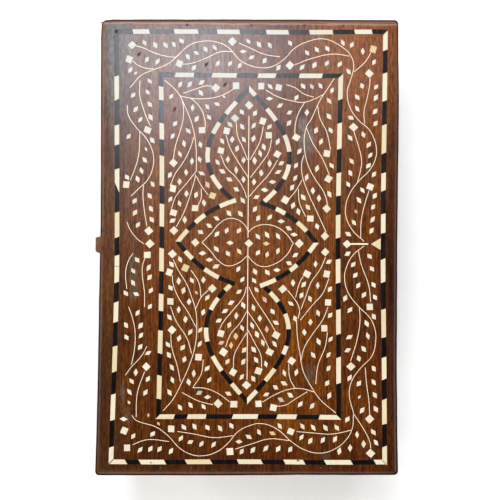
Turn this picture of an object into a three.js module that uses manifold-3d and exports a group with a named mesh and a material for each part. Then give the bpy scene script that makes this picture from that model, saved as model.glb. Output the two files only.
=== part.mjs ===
// A lidded hardwood box with bone and ebony inlay, in millimetres.
// X runs along the front from left to right, Y from the front to the back, and Z up from the table.
// The lid is a loose board. Battens under it drop inside the walls, and a thumb lift stands out of its front.
import * as THREE from "three";
import { mergeVertices } from "three/addons/utils/BufferGeometryUtils.js";
import Module from "manifold-3d";

// The lid board. Its ends and back are rounded, and its front is planed flat and only eased.
const LID_LENGTH = 305;
const LID_DEPTH = 200;
const LID_THICKNESS = 12;
const EDGE_ROUND = 4;
const FRONT_EASE = 1.2;
const CORNER_ROUND = 2.5;

// The case: four walls on a base board that stands out as far as the lid does.
const OVERHANG = 5;
const WALL_HEIGHT = 91;
const WALL_THICKNESS = 9;
const BASE_THICKNESS = 12;
const BASE_EASE = 1;

// The battens under the lid that keep it in place.
const LIP_HEIGHT = 8;
const LIP_THICKNESS = 6;
const LIP_CLEARANCE = 0.8;

// The thumb lift in the middle of the lid's front edge.
const THUMB_WIDTH = 11.2;
const THUMB_REACH = 2.2;
const THUMB_HEIGHT = 8;
const THUMB_ROUND = 1.4;
const THUMB_EASE = 0.5;

// Inlay is let into pockets, flush with the wood. The glue line is the gap between any two pieces.
const INLAY_DEPTH = 1.5;
const GLUE_LINE = 0.1;
const STRING_WIDTH = 3.3;
const LOBE_STRING_WIDTH = 3;

// The two string frames on the lid, by the margins outside the first and the border between them.
const MARGIN_ENDS = 6.5;
const MARGIN_FRONT = 9.3;
const MARGIN_BACK = 7.2;
const END_BORDER = 26.5;
const SIDE_BORDER = 27.2;

// The four-lobed medallion, by its string's centre line. Each tip stops short of the inner string frame.
const MEDALLION_X = -2;
const LEFT_TIP_GAP = 7.2;
const RIGHT_TIP_GAP = 8.9;
const FRONT_TIP_GAP = 9.9;
const BACK_TIP_GAP = 13.3;
const LOBE_HALF_WIDTH = 27.6;
const WIDEST_SHARE = 0.4;

// Its cusps are where neighbouring lobes meet, by how far from its middle they lie along X and along Y.
// The side lobes run a little past them, and the long lobes butt against the side lobes.
const LEFT_FRONT_CUSP_X = 27.7;
const LEFT_FRONT_CUSP_Y = 9.7;
const LEFT_BACK_CUSP_X = 26.2;
const LEFT_BACK_CUSP_Y = 9.3;
const RIGHT_FRONT_CUSP_X = 27.5;
const RIGHT_FRONT_CUSP_Y = 10;
const RIGHT_BACK_CUSP_X = 28.7;
const RIGHT_BACK_CUSP_Y = 9.7;
const CUSP_OVERRUN = 1.6;

// The bone diamonds on the medallion's axes, and the bone triangle against the back string.
const DIAMOND_SIDE = 4.3;
const END_DIAMOND_FROM_TIP = 11.4;
const SIDE_DIAMOND_FROM_TIP = 11.8;
const TRIANGLE_BASE = 8;
const TRIANGLE_HEIGHT = 6.6;

// The stem wires on the medallion's long axis, and the tie wire that points at the triangle.
const STEM_WIDTH = 0.8;
const LEFT_STEM_GAP = 4.6;
const STEM_GAP = 0.4;
const TIE_WIDTH = 1.1;
const TIE_LENGTH = 13;
const TIE_GAP = 1.6;

// The string frame on each wall.
const WALL_MARGIN = 8;

const ARC_STEPS = 5;
const LOBE_STEPS = 6;
const OVERCUT = 1;

const WOOD = new THREE.MeshStandardMaterial({ color: 0x6b3c20, roughness: 0.45, metalness: 0 });
const BONE = new THREE.MeshStandardMaterial({ color: 0xeadfc4, roughness: 0.4, metalness: 0 });
const EBONY = new THREE.MeshStandardMaterial({ color: 0x1d1815, roughness: 0.35, metalness: 0 });
const WIRE = new THREE.MeshStandardMaterial({ color: 0xcdb9a4, roughness: 0.35, metalness: 0.4 });

const wasm = await Module();
wasm.setup();

// Cutting and joining

function solidOf(geometry) {
  const bare = geometry.clone();
  bare.deleteAttribute("normal");
  bare.deleteAttribute("uv");
  const merged = mergeVertices(bare);
  return new wasm.Manifold(
    new wasm.Mesh({
      numProp: 3,
      vertProperties: merged.attributes.position.array,
      triVerts: new Uint32Array(merged.index.array),
    }),
  );
}

function geometryOf(solid) {
  const { numProp, numVert, vertProperties, triVerts } = solid.getMesh();
  const corners = new Float32Array(numVert * 3);
  for (let i = 0; i < numVert; i++) {
    corners.set(vertProperties.subarray(i * numProp, i * numProp + 3), i * 3);
  }
  const geometry = new THREE.BufferGeometry();
  geometry.setAttribute("position", new THREE.BufferAttribute(corners, 3));
  geometry.setIndex(new THREE.BufferAttribute(triVerts, 1));
  geometry.computeVertexNormals();
  return geometry;
}

function cutPockets(board, pockets) {
  return geometryOf(pockets.reduce((left, pocket) => left.subtract(solidOf(pocket)), solidOf(board)));
}

function piece(name, geometry, material, x = 0, y = 0, z = 0) {
  const mesh = new THREE.Mesh(geometry, material);
  mesh.name = name;
  mesh.position.set(x, y, z);
  return mesh;
}

// Boards

// A rectangle with its own radius at each corner, counter-clockwise from the lowest.
function roundedRectangle(x0, y0, x1, y1, [r0, r1, r2, r3]) {
  const shape = new THREE.Shape();
  shape.absarc(x0 + r0, y0 + r0, r0, Math.PI, 1.5 * Math.PI);
  shape.absarc(x1 - r1, y0 + r1, r1, 1.5 * Math.PI, 2 * Math.PI);
  shape.absarc(x1 - r2, y1 - r2, r2, 0, 0.5 * Math.PI);
  shape.absarc(x0 + r3, y1 - r3, r3, 0.5 * Math.PI, Math.PI);
  return shape;
}

function extrude(shape, depth) {
  return new THREE.ExtrudeGeometry(shape, { depth, bevelEnabled: false, curveSegments: ARC_STEPS });
}

// A board with its top at z = 0. Its outline, its cross-section and its long section each cut it to shape.
function mouldedBoard(length, depth, thickness, acrossRounds, alongRounds) {
  const [x, y] = [length / 2, depth / 2];
  const corners = Array(4).fill(CORNER_ROUND);
  const outline = extrude(roundedRectangle(-x, -y, x, y, corners), thickness);
  outline.translate(0, 0, -thickness);
  const across = extrude(roundedRectangle(-y, -thickness, y, 0, acrossRounds), length);
  across.applyMatrix4(
    new THREE.Matrix4().makeBasis(
      new THREE.Vector3(0, 1, 0),
      new THREE.Vector3(0, 0, 1),
      new THREE.Vector3(1, 0, 0),
    ),
  );
  across.translate(-x, 0, 0);
  const along = extrude(roundedRectangle(-x, -thickness, x, 0, alongRounds), depth);
  along.rotateX(Math.PI / 2);
  along.translate(0, y, 0);
  return geometryOf(solidOf(outline).intersect(solidOf(across)).intersect(solidOf(along)));
}

// Inlay outlines are counter-clockwise lists of points on a face.

// An outline moved inwards by a distance on every side.
function insetOutline(points, distance) {
  const inward = (from, to) => new THREE.Vector2(from.y - to.y, to.x - from.x).normalize();
  return points.map((point, i) => {
    const before = inward(points.at(i - 1), point);
    const after = inward(point, points[(i + 1) % points.length]);
    const mitre = before.clone().add(after);
    return point.clone().addScaledVector(mitre, distance / (1 + before.dot(after)));
  });
}

function pocketOf(outline) {
  const geometry = extrude(new THREE.Shape(outline), INLAY_DEPTH + GLUE_LINE + OVERCUT);
  geometry.translate(0, 0, -INLAY_DEPTH - GLUE_LINE);
  return geometry;
}

function inlay(name, outline, material) {
  const geometry = extrude(new THREE.Shape(insetOutline(outline, GLUE_LINE)), INLAY_DEPTH);
  return piece(name, geometry, material, 0, 0, -INLAY_DEPTH);
}

function barOutline(x0, y0, x1, y1) {
  return [
    new THREE.Vector2(x0, y0),
    new THREE.Vector2(x1, y0),
    new THREE.Vector2(x1, y1),
    new THREE.Vector2(x0, y1),
  ];
}

// The four mitred strips of a string frame, by its outer rectangle.
function frameOutlines(x0, y0, x1, y1) {
  const outer = barOutline(x0, y0, x1, y1);
  const inner = insetOutline(outer, STRING_WIDTH);
  const next = (i) => (i + 1) % outer.length;
  return outer.map((corner, i) => [corner, outer[next(i)], inner[next(i)], inner[i]]);
}

function diamondOutline(x, y) {
  const reach = DIAMOND_SIDE * Math.SQRT1_2;
  return [
    new THREE.Vector2(x, y - reach),
    new THREE.Vector2(x + reach, y),
    new THREE.Vector2(x, y + reach),
    new THREE.Vector2(x - reach, y),
  ];
}

// The medallion

// Half of a long lobe, from its cusp to its tip: it swells to its widest place and draws in to a point.
// Its points are distances along the lobe and across it.
function halfLongLobe([along, across], reach) {
  const widest = along + WIDEST_SHARE * (reach - along);
  const swell = widest - along;
  const taper = reach - widest;
  const path = new THREE.Path();
  path.moveTo(along, across);
  path.bezierCurveTo(
    along + 0.3 * swell,
    across + 0.6 * (LOBE_HALF_WIDTH - across),
    along + 0.6 * swell,
    LOBE_HALF_WIDTH,
    widest,
    LOBE_HALF_WIDTH,
  );
  path.bezierCurveTo(
    widest + 0.32 * taper,
    LOBE_HALF_WIDTH,
    widest + 0.6 * taper,
    0.63 * LOBE_HALF_WIDTH,
    reach,
    0,
  );
  return path.getPoints(LOBE_STEPS);
}

// Half of a side lobe, from its cusp to its tip, also by distances along the lobe and across it.
function halfSideLobe([across, along], reach) {
  const span = reach - along;
  const path = new THREE.Path();
  path.moveTo(along, across);
  path.bezierCurveTo(
    along + 0.32 * span,
    0.86 * across,
    along + 0.66 * span,
    0.62 * across,
    reach,
    0,
  );
  return path.getPoints(LOBE_STEPS);
}

function direction(from, to) {
  return to.clone().sub(from).normalize();
}

function flipped(points) {
  return points.map((p) => new THREE.Vector2(p.x, -p.y));
}

// A side lobe's string starts a little before the cusp, and its ends are square.
function overrun(half) {
  const start = half[0].clone().addScaledVector(direction(half[0], half[1]), -CUSP_OVERRUN);
  const square = direction(half[0], half[1]);
  return { points: [start, ...half.slice(1)], cut: new THREE.Vector2(-square.y, square.x) };
}

// A long lobe's string starts at the edge of the side lobe's string, and its end is cut along that edge.
function butted(half, sideHalf) {
  const side = direction(sideHalf[0], sideHalf[1]);
  const cut = new THREE.Vector2(side.y, side.x);
  const along = direction(half[0], half[1]);
  const setBack = LOBE_STRING_WIDTH / 2 / Math.abs(along.cross(cut));
  return { points: [half[0].clone().addScaledVector(along, setBack), ...half.slice(1)], cut };
}

// The outline of a lobe's string, which runs from one cusp by the tip to the other.
function lobeStrip(first, second) {
  const line = [...flipped(first.points), ...second.points.slice(0, -1).reverse()];
  const last = line.length - 1;
  const sides = line.map((point, i) => {
    const into = direction(line[Math.max(i - 1, 0)], line[Math.max(i, 1)]);
    const out = direction(line[Math.min(i, last - 1)], line[Math.min(i + 1, last)]);
    const normal = new THREE.Vector2(into.y, -into.x);
    const along = into.clone().add(out);
    let cut = new THREE.Vector2(along.y, -along.x).normalize();
    if (i === 0) cut = new THREE.Vector2(first.cut.x, -first.cut.y);
    if (i === last) cut = second.cut;
    const reach = LOBE_STRING_WIDTH / 2 / cut.dot(normal);
    return [
      point.clone().addScaledVector(cut, reach),
      point.clone().addScaledVector(cut, -reach),
    ];
  });
  return [...sides.map((s) => s[0]), ...sides.map((s) => s[1]).reverse()];
}

// A lobe's outline, turned about the medallion's middle and moved to its place on the lid.
function placedLobe(outline, turn) {
  const middle = new THREE.Vector2(0, 0);
  return outline.map((p) => {
    const turned = p.clone().rotateAround(middle, turn);
    return new THREE.Vector2(turned.x + MEDALLION_X, turned.y);
  });
}

function longLobe([first, second], [firstSide, secondSide], reach, turn) {
  const halves = [
    butted(halfLongLobe(first, reach), firstSide),
    butted(halfLongLobe(second, reach), secondSide),
  ];
  return placedLobe(lobeStrip(...halves), turn);
}

function sideLobe(halves, turn) {
  return placedLobe(lobeStrip(...halves.map(overrun)), turn);
}

// How far each tip of the medallion reaches from its middle.
function medallionReach() {
  const frame = innerFrame();
  return {
    left: MEDALLION_X - frame.x0 - LEFT_TIP_GAP,
    right: frame.x1 - MEDALLION_X - RIGHT_TIP_GAP,
    front: -frame.y0 - FRONT_TIP_GAP,
    back: frame.y1 - BACK_TIP_GAP,
  };
}

function medallionOutlines() {
  const reach = medallionReach();
  const leftFront = [LEFT_FRONT_CUSP_X, LEFT_FRONT_CUSP_Y];
  const leftBack = [LEFT_BACK_CUSP_X, LEFT_BACK_CUSP_Y];
  const rightFront = [RIGHT_FRONT_CUSP_X, RIGHT_FRONT_CUSP_Y];
  const rightBack = [RIGHT_BACK_CUSP_X, RIGHT_BACK_CUSP_Y];
  const frontHalves = [leftFront, rightFront].map((cusp) => halfSideLobe(cusp, reach.front));
  const backHalves = [rightBack, leftBack].map((cusp) => halfSideLobe(cusp, reach.back));
  const rightSides = [frontHalves[1], backHalves[0]];
  const leftSides = [backHalves[1], frontHalves[0]];
  return {
    right: longLobe([rightFront, rightBack], rightSides, reach.right, 0),
    back: sideLobe(backHalves, Math.PI / 2),
    left: longLobe([leftBack, leftFront], leftSides, reach.left, Math.PI),
    front: sideLobe(frontHalves, -Math.PI / 2),
  };
}

// The lid

const SIDES = ["front", "right", "back", "left"];

// The space inside the lid's outer string frame, and the space inside the inner one.
function outerFrame() {
  return {
    x0: -LID_LENGTH / 2 + MARGIN_ENDS + STRING_WIDTH,
    x1: LID_LENGTH / 2 - MARGIN_ENDS - STRING_WIDTH,
    y0: -LID_DEPTH / 2 + MARGIN_FRONT + STRING_WIDTH,
    y1: LID_DEPTH / 2 - MARGIN_BACK - STRING_WIDTH,
  };
}

function innerFrame() {
  const { x0, x1, y0, y1 } = outerFrame();
  return {
    x0: x0 + END_BORDER + STRING_WIDTH,
    x1: x1 - END_BORDER - STRING_WIDTH,
    y0: y0 + SIDE_BORDER + STRING_WIDTH,
    y1: y1 - SIDE_BORDER - STRING_WIDTH,
  };
}

function stringFrame(name, { x0, x1, y0, y1 }) {
  const w = STRING_WIDTH;
  return frameOutlines(x0 - w, y0 - w, x1 + w, y1 + w).map((outline, i) => [
    `${name}_${SIDES[i]}`,
    outline,
    EBONY,
  ]);
}

function boneDiamonds() {
  const reach = medallionReach();
  const places = {
    centre: [0, 0],
    left: [END_DIAMOND_FROM_TIP - reach.left, 0],
    right: [reach.right - END_DIAMOND_FROM_TIP, 0],
    front: [0, SIDE_DIAMOND_FROM_TIP - reach.front],
    back: [0, reach.back - SIDE_DIAMOND_FROM_TIP],
  };
  return Object.entries(places).map(([side, [x, y]]) => [
    `bone_diamond_${side}`,
    diamondOutline(x + MEDALLION_X, y),
    BONE,
  ]);
}

function stemWires() {
  const reach = medallionReach();
  const half = STEM_WIDTH / 2;
  const corner = DIAMOND_SIDE * Math.SQRT1_2;
  const middle = MEDALLION_X - corner - STEM_GAP;
  const leftEnd = MEDALLION_X - reach.left + END_DIAMOND_FROM_TIP + corner + LEFT_STEM_GAP;
  const rightEnd = MEDALLION_X + reach.right - END_DIAMOND_FROM_TIP - corner - STEM_GAP;
  return [
    ["stem_wire_left", barOutline(leftEnd, -half, middle, half), WIRE],
    ["stem_wire_right", barOutline(MEDALLION_X + corner + STEM_GAP, -half, rightEnd, half), WIRE],
  ];
}

// The bone triangle against the back string, and the tie wire in line with its point.
function triangleAndTie() {
  const base = outerFrame().y1;
  const point = base - TRIANGLE_HEIGHT;
  const half = TIE_WIDTH / 2;
  const tieEnd = point - TIE_GAP;
  const triangle = [
    new THREE.Vector2(MEDALLION_X, point),
    new THREE.Vector2(MEDALLION_X + TRIANGLE_BASE / 2, base),
    new THREE.Vector2(MEDALLION_X - TRIANGLE_BASE / 2, base),
  ];
  const tie = barOutline(MEDALLION_X - half, tieEnd - TIE_LENGTH, MEDALLION_X + half, tieEnd);
  return [
    ["bone_triangle", triangle, BONE],
    ["tie_wire", tie, WIRE],
  ];
}

function lidInlay() {
  const lobes = Object.entries(medallionOutlines());
  return [
    ...stringFrame("outer_string", outerFrame()),
    ...stringFrame("inner_string", innerFrame()),
    ...lobes.map(([side, outline]) => [`medallion_string_${side}`, outline, EBONY]),
    ...boneDiamonds(),
    ...stemWires(),
    ...triangleAndTie(),
  ];
}

function lid() {
  const group = new THREE.Group();
  const inlays = lidInlay();
  const board = mouldedBoard(
    LID_LENGTH,
    LID_DEPTH,
    LID_THICKNESS,
    [FRONT_EASE, EDGE_ROUND, EDGE_ROUND, FRONT_EASE],
    Array(4).fill(EDGE_ROUND),
  );
  group.add(piece("lid_board", cutPockets(board, inlays.map(([, outline]) => pocketOf(outline))), WOOD));
  for (const [name, outline, material] of inlays) group.add(inlay(name, outline, material));
  group.add(...lidBattens(), thumbLift());
  return group;
}

function lidBattens() {
  const inside = WALL_THICKNESS + OVERHANG + LIP_CLEARANCE;
  const length = LID_LENGTH - 2 * inside;
  const depth = LID_DEPTH - 2 * inside;
  const z = -LID_THICKNESS - GLUE_LINE - LIP_HEIGHT / 2;
  const y = (depth - LIP_THICKNESS) / 2;
  const x = (length - LIP_THICKNESS) / 2;
  const long = new THREE.BoxGeometry(length, LIP_THICKNESS, LIP_HEIGHT);
  const short = new THREE.BoxGeometry(
    LIP_THICKNESS,
    depth - 2 * (LIP_THICKNESS + GLUE_LINE),
    LIP_HEIGHT,
  );
  return [
    piece("lid_batten_front", long, WOOD, 0, -y, z),
    piece("lid_batten_back", long, WOOD, 0, y, z),
    piece("lid_batten_left", short, WOOD, -x, 0, z),
    piece("lid_batten_right", short, WOOD, x, 0, z),
  ];
}

function thumbLift() {
  const rounds = [THUMB_ROUND, THUMB_ROUND, THUMB_EASE, THUMB_EASE];
  const half = THUMB_WIDTH / 2;
  const geometry = extrude(roundedRectangle(-half, -THUMB_REACH, half, 0, rounds), THUMB_HEIGHT);
  const y = -LID_DEPTH / 2 - GLUE_LINE;
  return piece("thumb_lift", geometry, WOOD, 0, y, -(LID_THICKNESS + THUMB_HEIGHT) / 2);
}

// The case

// A wall with its outer face at z = 0 and its foot at y = 0, and the string frame let into that face.
function inlaidWall(side, length) {
  const group = new THREE.Group();
  const board = new THREE.BoxGeometry(length, WALL_HEIGHT, WALL_THICKNESS);
  board.translate(0, WALL_HEIGHT / 2, -WALL_THICKNESS / 2);
  const face = Math.min(length, LID_LENGTH - 2 * OVERHANG) / 2 - WALL_MARGIN;
  const outlines = frameOutlines(-face, WALL_MARGIN, face, WALL_HEIGHT - WALL_MARGIN);
  group.add(piece(`${side}_wall`, cutPockets(board, outlines.map(pocketOf)), WOOD));
  const edges = ["bottom", "right", "top", "left"];
  outlines.forEach((outline, i) => group.add(inlay(`${side}_string_${edges[i]}`, outline, EBONY)));
  return group;
}

// Stands a wall up on the base, its face turned outwards and a distance from the middle of the box.
function standWall(wall, turn, distance) {
  wall.rotation.x = Math.PI / 2;
  wall.position.set(0, -distance, BASE_THICKNESS + GLUE_LINE);
  const turned = new THREE.Group();
  turned.rotation.z = turn;
  turned.add(wall);
  return turned;
}

function walls() {
  const length = LID_LENGTH - 2 * OVERHANG;
  const depth = LID_DEPTH - 2 * OVERHANG;
  const endLength = depth - 2 * (WALL_THICKNESS + GLUE_LINE);
  return [
    standWall(inlaidWall("front", length), 0, depth / 2),
    standWall(inlaidWall("right", endLength), Math.PI / 2, length / 2),
    standWall(inlaidWall("back", length), Math.PI, depth / 2),
    standWall(inlaidWall("left", endLength), -Math.PI / 2, length / 2),
  ];
}

function base() {
  const rounds = [BASE_EASE, BASE_EASE, EDGE_ROUND, EDGE_ROUND];
  const board = mouldedBoard(LID_LENGTH, LID_DEPTH, BASE_THICKNESS, rounds, rounds);
  return piece("base_board", board, WOOD, 0, 0, BASE_THICKNESS);
}

const box = new THREE.Group();
box.add(base(), ...walls());
const closedLid = lid();
closedLid.position.z = BASE_THICKNESS + WALL_HEIGHT + LID_THICKNESS + 2 * GLUE_LINE;
box.add(closedLid);
// The origin is under the middle of the whole box, which the thumb lift makes a little deeper.
box.position.y = (THUMB_REACH + GLUE_LINE) / 2;

export default box;
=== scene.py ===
import math
import random

import bpy
from mathutils import Matrix, Vector
from mathutils.geometry import interpolate_bezier
from mathutils.noise import fractal


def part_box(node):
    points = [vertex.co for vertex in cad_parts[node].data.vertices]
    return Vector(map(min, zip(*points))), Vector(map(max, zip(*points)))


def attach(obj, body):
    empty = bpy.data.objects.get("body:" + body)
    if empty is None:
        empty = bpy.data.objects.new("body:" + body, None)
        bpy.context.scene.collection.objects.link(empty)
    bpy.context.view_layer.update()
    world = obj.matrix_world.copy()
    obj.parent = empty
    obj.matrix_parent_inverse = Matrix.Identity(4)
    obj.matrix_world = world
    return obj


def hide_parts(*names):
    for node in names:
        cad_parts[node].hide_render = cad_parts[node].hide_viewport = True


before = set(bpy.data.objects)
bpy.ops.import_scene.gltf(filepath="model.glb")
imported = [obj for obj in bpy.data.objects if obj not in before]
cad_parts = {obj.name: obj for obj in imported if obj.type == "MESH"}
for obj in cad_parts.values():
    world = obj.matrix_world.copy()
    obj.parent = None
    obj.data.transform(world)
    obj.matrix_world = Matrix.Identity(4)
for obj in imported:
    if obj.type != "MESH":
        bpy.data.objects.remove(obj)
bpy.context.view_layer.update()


# The studio: a pale floor under soft light from all round, a broad cool window above the box's front
# left corner, whose shine lies in the polish there, and the viewpoint straight above the lid.
def deselect():
    bpy.ops.object.select_all(action="DESELECT")


def add_node(tree, kind, values=None, **settings):
    """Adds a shader node; a value is a plain number or colour, or the socket that it comes from."""
    made = tree.nodes.new(kind)
    for key, value in settings.items():
        setattr(made, key, value)
    for socket, value in (values or {}).items():
        if isinstance(value, bpy.types.NodeSocket):
            tree.links.new(value, made.inputs[socket])
        else:
            made.inputs[socket].default_value = value
    return made


def new_surface(name, **values):
    """A material and its shader, with the shader's plain numbers set on its own sockets."""
    material = bpy.data.materials.new(name)
    material.use_nodes = True
    shader = material.node_tree.nodes["Principled BSDF"]
    for socket, value in values.items():
        shader.inputs[socket.replace("_", " ")].default_value = value
    return material, material.node_tree, shader


def noise(tree, place, scale, detail=3.0, distortion=0.0):
    """Noise whose grains are stretched by different scales along the three axes."""
    stretched = add_node(tree, "ShaderNodeMapping", {"Vector": place, "Scale": scale})
    texture = add_node(
        tree,
        "ShaderNodeTexNoise",
        {"Vector": stretched.outputs["Vector"], "Scale": 1.0, "Detail": detail, "Distortion": distortion},
    )
    return texture.outputs["Fac"]


def blend(tree, factor, first, second, way="MIX"):
    values = {0: factor, 6: first, 7: second}
    mixed = add_node(tree, "ShaderNodeMix", values, data_type="RGBA", blend_type=way)
    return mixed.outputs[2]


def object_place(tree):
    return add_node(tree, "ShaderNodeTexCoord").outputs["Object"]


FLOOR_WIDTH = 9.0
FLOOR_GAP = 0.0004
deselect()
bpy.ops.mesh.primitive_plane_add(size=FLOOR_WIDTH, location=(0, 0, -FLOOR_GAP))
floor = bpy.context.object
floor.name = "studio_floor"
bpy.ops.object.transform_apply(location=True)
pale, pale_tree, pale_shader = new_surface("pale_floor", Roughness=0.9)
speckle = noise(pale_tree, object_place(pale_tree), (60, 60, 60))
speckled = blend(pale_tree, speckle, (0.88, 0.88, 0.88, 1), (0.92, 0.92, 0.92, 1))
pale_tree.links.new(speckled, pale_shader.inputs["Base Color"])
floor.data.materials.append(pale)

bpy.context.scene.view_settings.view_transform = "Standard"
world = bpy.data.worlds.new("soft_sky")
world.use_nodes = True
sky = world.node_tree.nodes["Background"]
sky.inputs["Color"].default_value = (1, 0.985, 0.97, 1)
sky.inputs["Strength"].default_value = 0.1
bpy.context.scene.world = world


LAMPS_AIM = Vector((0, 0, 0.05))
SCREEN_WIDTH = 1.5
SCREEN_COLOUR = (1.0, 0.98, 0.95)
SCREENS = {
    "front": ((-0.3, -1.9, 1.5), 33.0),
    "back": ((0.3, 1.9, 1.5), 28.0),
    "left": ((-1.9, 0.2, 1.5), 30.0),
    "right": ((1.9, -0.2, 1.5), 25.0),
}


def soft_lamp(name, place, size, watts, colour):
    """A broad square lamp that looks at the middle of the box."""
    lamp = bpy.data.lights.new(name, "AREA")
    lamp.shape = "SQUARE"
    lamp.size = size
    lamp.energy = watts
    lamp.color = colour
    stand = bpy.data.objects.new(name, lamp)
    stand.location = place
    stand.rotation_euler = (LAMPS_AIM - Vector(place)).to_track_quat("-Z", "Y").to_euler()
    bpy.context.scene.collection.objects.link(stand)


soft_lamp("window", (-0.488, -0.135, 1.42), 0.36, 9.2, (0.82, 0.9, 1.0))
for side, (place, watts) in SCREENS.items():
    soft_lamp(f"{side}_screen", place, SCREEN_WIDTH, watts, SCREEN_COLOUR)

viewpoint = bpy.data.objects.new("viewpoint", bpy.data.cameras.new("viewpoint"))
viewpoint.data.lens = 64.37
viewpoint.location = (0.0234, 0.0046, 0.7139)
viewpoint.rotation_euler = [math.radians(angle) for angle in (1.932, 0.184, 90.372)]
bpy.context.scene.collection.objects.link(viewpoint)
bpy.context.scene.camera = viewpoint


# The base board: one board of the same reddish brown wood, a little larger than the walls all round,
# planed flat and its edges eased with a plane. The walls are glued on top of it.
VECTOR, COLOUR, VALUE = "NodeSocketVector", "NodeSocketColor", "NodeSocketFloat"
WOOD_DARK = (0.13, 0.032, 0.001, 1)
WOOD_MIDDLE = (0.22, 0.063, 0.0015, 1)
WOOD_LIGHT = (0.31, 0.1, 0.003, 1)
PORE = (0.02, 0.008, 0.004, 1)


def new_group(name, inputs, outputs):
    """A node group with the sockets that are named. Returns it and what comes in by its inputs."""
    group = bpy.data.node_groups.new(name, "ShaderNodeTree")
    for way, sockets in (("INPUT", inputs), ("OUTPUT", outputs)):
        for socket, kind in sockets.items():
            group.interface.new_socket(name=socket, in_out=way, socket_type=kind)
    return group, add_node(group, "NodeGroupInput").outputs


def spread(tree, value, low, high, to_low=0.0, to_high=1.0):
    """Stretches the part of a value between low and high, smoothly, and clamps the rest."""
    ranged = add_node(
        tree,
        "ShaderNodeMapRange",
        {"Value": value, "From Min": low, "From Max": high, "To Min": to_low, "To Max": to_high},
        interpolation_type="SMOOTHSTEP",
    )
    return ranged.outputs["Result"]


def reckon(tree, operation, *values):
    numbered = dict(enumerate(values))
    return add_node(tree, "ShaderNodeMath", numbered, operation=operation).outputs["Value"]


def fill_group(tree, group, values):
    """Places a node group in a material, fills its inputs and returns its outputs."""
    return add_node(tree, "ShaderNodeGroup", values, node_tree=group).outputs


def three_way(tree, operation, *values):
    """The same sum on each of three coordinates."""
    numbered = dict(enumerate(values))
    return add_node(tree, "ShaderNodeVectorMath", numbered, operation=operation).outputs["Vector"]


def make_wood_grain():
    """The wood's grain, along X: broad bands, growth rings, streaks, and short dark pores, in three tones
    of the wood."""
    outputs = {"Colour": COLOUR, "Roughness": VALUE, "Height": VALUE}
    group, given = new_group("wood_grain", {"Place": VECTOR}, outputs)
    place = given["Place"]
    bands = noise(group, place, (5, 55, 55), 3.0, 0.8)
    streaks = noise(group, place, (22, 850, 850), 4.0, 0.3)
    fibres = noise(group, place, (55, 1500, 1500), 3.0)
    pores = noise(group, place, (170, 2600, 2600), 1.0)
    figure = reckon(group, "MULTIPLY", streaks, 0.48)
    figure = reckon(group, "ADD", reckon(group, "MULTIPLY", bands, 0.52), figure)
    wood = blend(group, spread(group, figure, 0.34, 0.52), WOOD_DARK, WOOD_MIDDLE)
    wood = blend(group, spread(group, figure, 0.5, 0.68), wood, WOOD_LIGHT)
    rings = reckon(group, "FRACT", reckon(group, "MULTIPLY", bands, 11.0))
    mottle = noise(group, place, (75, 210, 210), 5.0, 1.0)
    for darker, shade in (
        (spread(group, fibres, 0.25, 0.75, 0.0, 0.6), (0.42, 0.35, 0.28, 1)),
        (spread(group, rings, 0.7, 1.0, 0.0, 0.6), (0.5, 0.4, 0.33, 1)),
        (spread(group, mottle, 0.42, 0.66, 0.0, 0.7), (0.55, 0.47, 0.4, 1)),
    ):
        wood = blend(group, darker, wood, shade, "MULTIPLY")
    pored = spread(group, pores, 0.6, 0.72, 0.0, 0.55)
    finished = {
        "Colour": blend(group, pored, wood, PORE),
        "Roughness": spread(group, streaks, 0.3, 0.7, 0.22, 0.3),
        "Height": reckon(group, "SUBTRACT", fibres, pored),
    }
    add_node(group, "NodeGroupOutput", finished)
    return group


def make_worn_edge():
    """A mask that is 1 on a board's outer edges and fades over a width into it, raggedly as wear does."""
    inputs = {"Place": VECTOR, "Middle": VECTOR, "Half Size": VECTOR, "Width": VALUE}
    group, given = new_group("worn_edge", inputs, {"Mask": VALUE})
    centred = three_way(group, "SUBTRACT", given["Place"], given["Middle"])
    inset = three_way(group, "SUBTRACT", given["Half Size"], three_way(group, "ABSOLUTE", centred))
    sides = add_node(group, "ShaderNodeSeparateXYZ", {"Vector": inset}).outputs
    nearest = reckon(group, "MINIMUM", sides["X"], sides["Y"])
    ragged = reckon(group, "MULTIPLY", noise(group, given["Place"], (140, 140, 140), 4.0), 1.6)
    share = reckon(group, "MULTIPLY", reckon(group, "DIVIDE", nearest, given["Width"]), ragged)
    add_node(group, "NodeGroupOutput", {"Mask": spread(group, share, 0.0, 1.0, 1.0, 0.0)})
    return group


wood_grain = make_wood_grain()
worn_edge = make_worn_edge()
BOX_MIDDLE = (0, 0.00115, 0)
BOARD_HALF = (0.1525, 0.1, 1.0)
BOARD_WEAR = 0.004
DIRT = (0.035, 0.012, 0.005, 1)


def fill_grain(tree, turn):
    turned = add_node(tree, "ShaderNodeMapping", {"Vector": object_place(tree), "Rotation": (0, 0, turn)})
    return fill_group(tree, wood_grain, {"Place": turned.outputs["Vector"]})


def edge_mask(tree, half_size, width):
    """Where a board wears, over a width in from its outer edges."""
    values = {"Place": object_place(tree), "Middle": BOX_MIDDLE, "Half Size": half_size, "Width": width}
    return fill_group(tree, worn_edge, values)["Mask"]


def lay_tone(tree, colour, mask, strength, tone, way="MIX"):
    """Lays a tone over a colour where a mask says, at a share of its strength."""
    return blend(tree, reckon(tree, "MULTIPLY", mask, strength), colour, tone, way)


def finish_surface(tree, shader, colour, roughness, height, depth=0.00004):
    """Feeds a material's patterns to its shader."""
    tree.links.new(colour, shader.inputs["Base Color"])
    tree.links.new(roughness, shader.inputs["Roughness"])
    bump = add_node(tree, "ShaderNodeBump", {"Height": height, "Strength": 0.5, "Distance": depth})
    tree.links.new(bump.outputs["Normal"], shader.inputs["Normal"])


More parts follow.
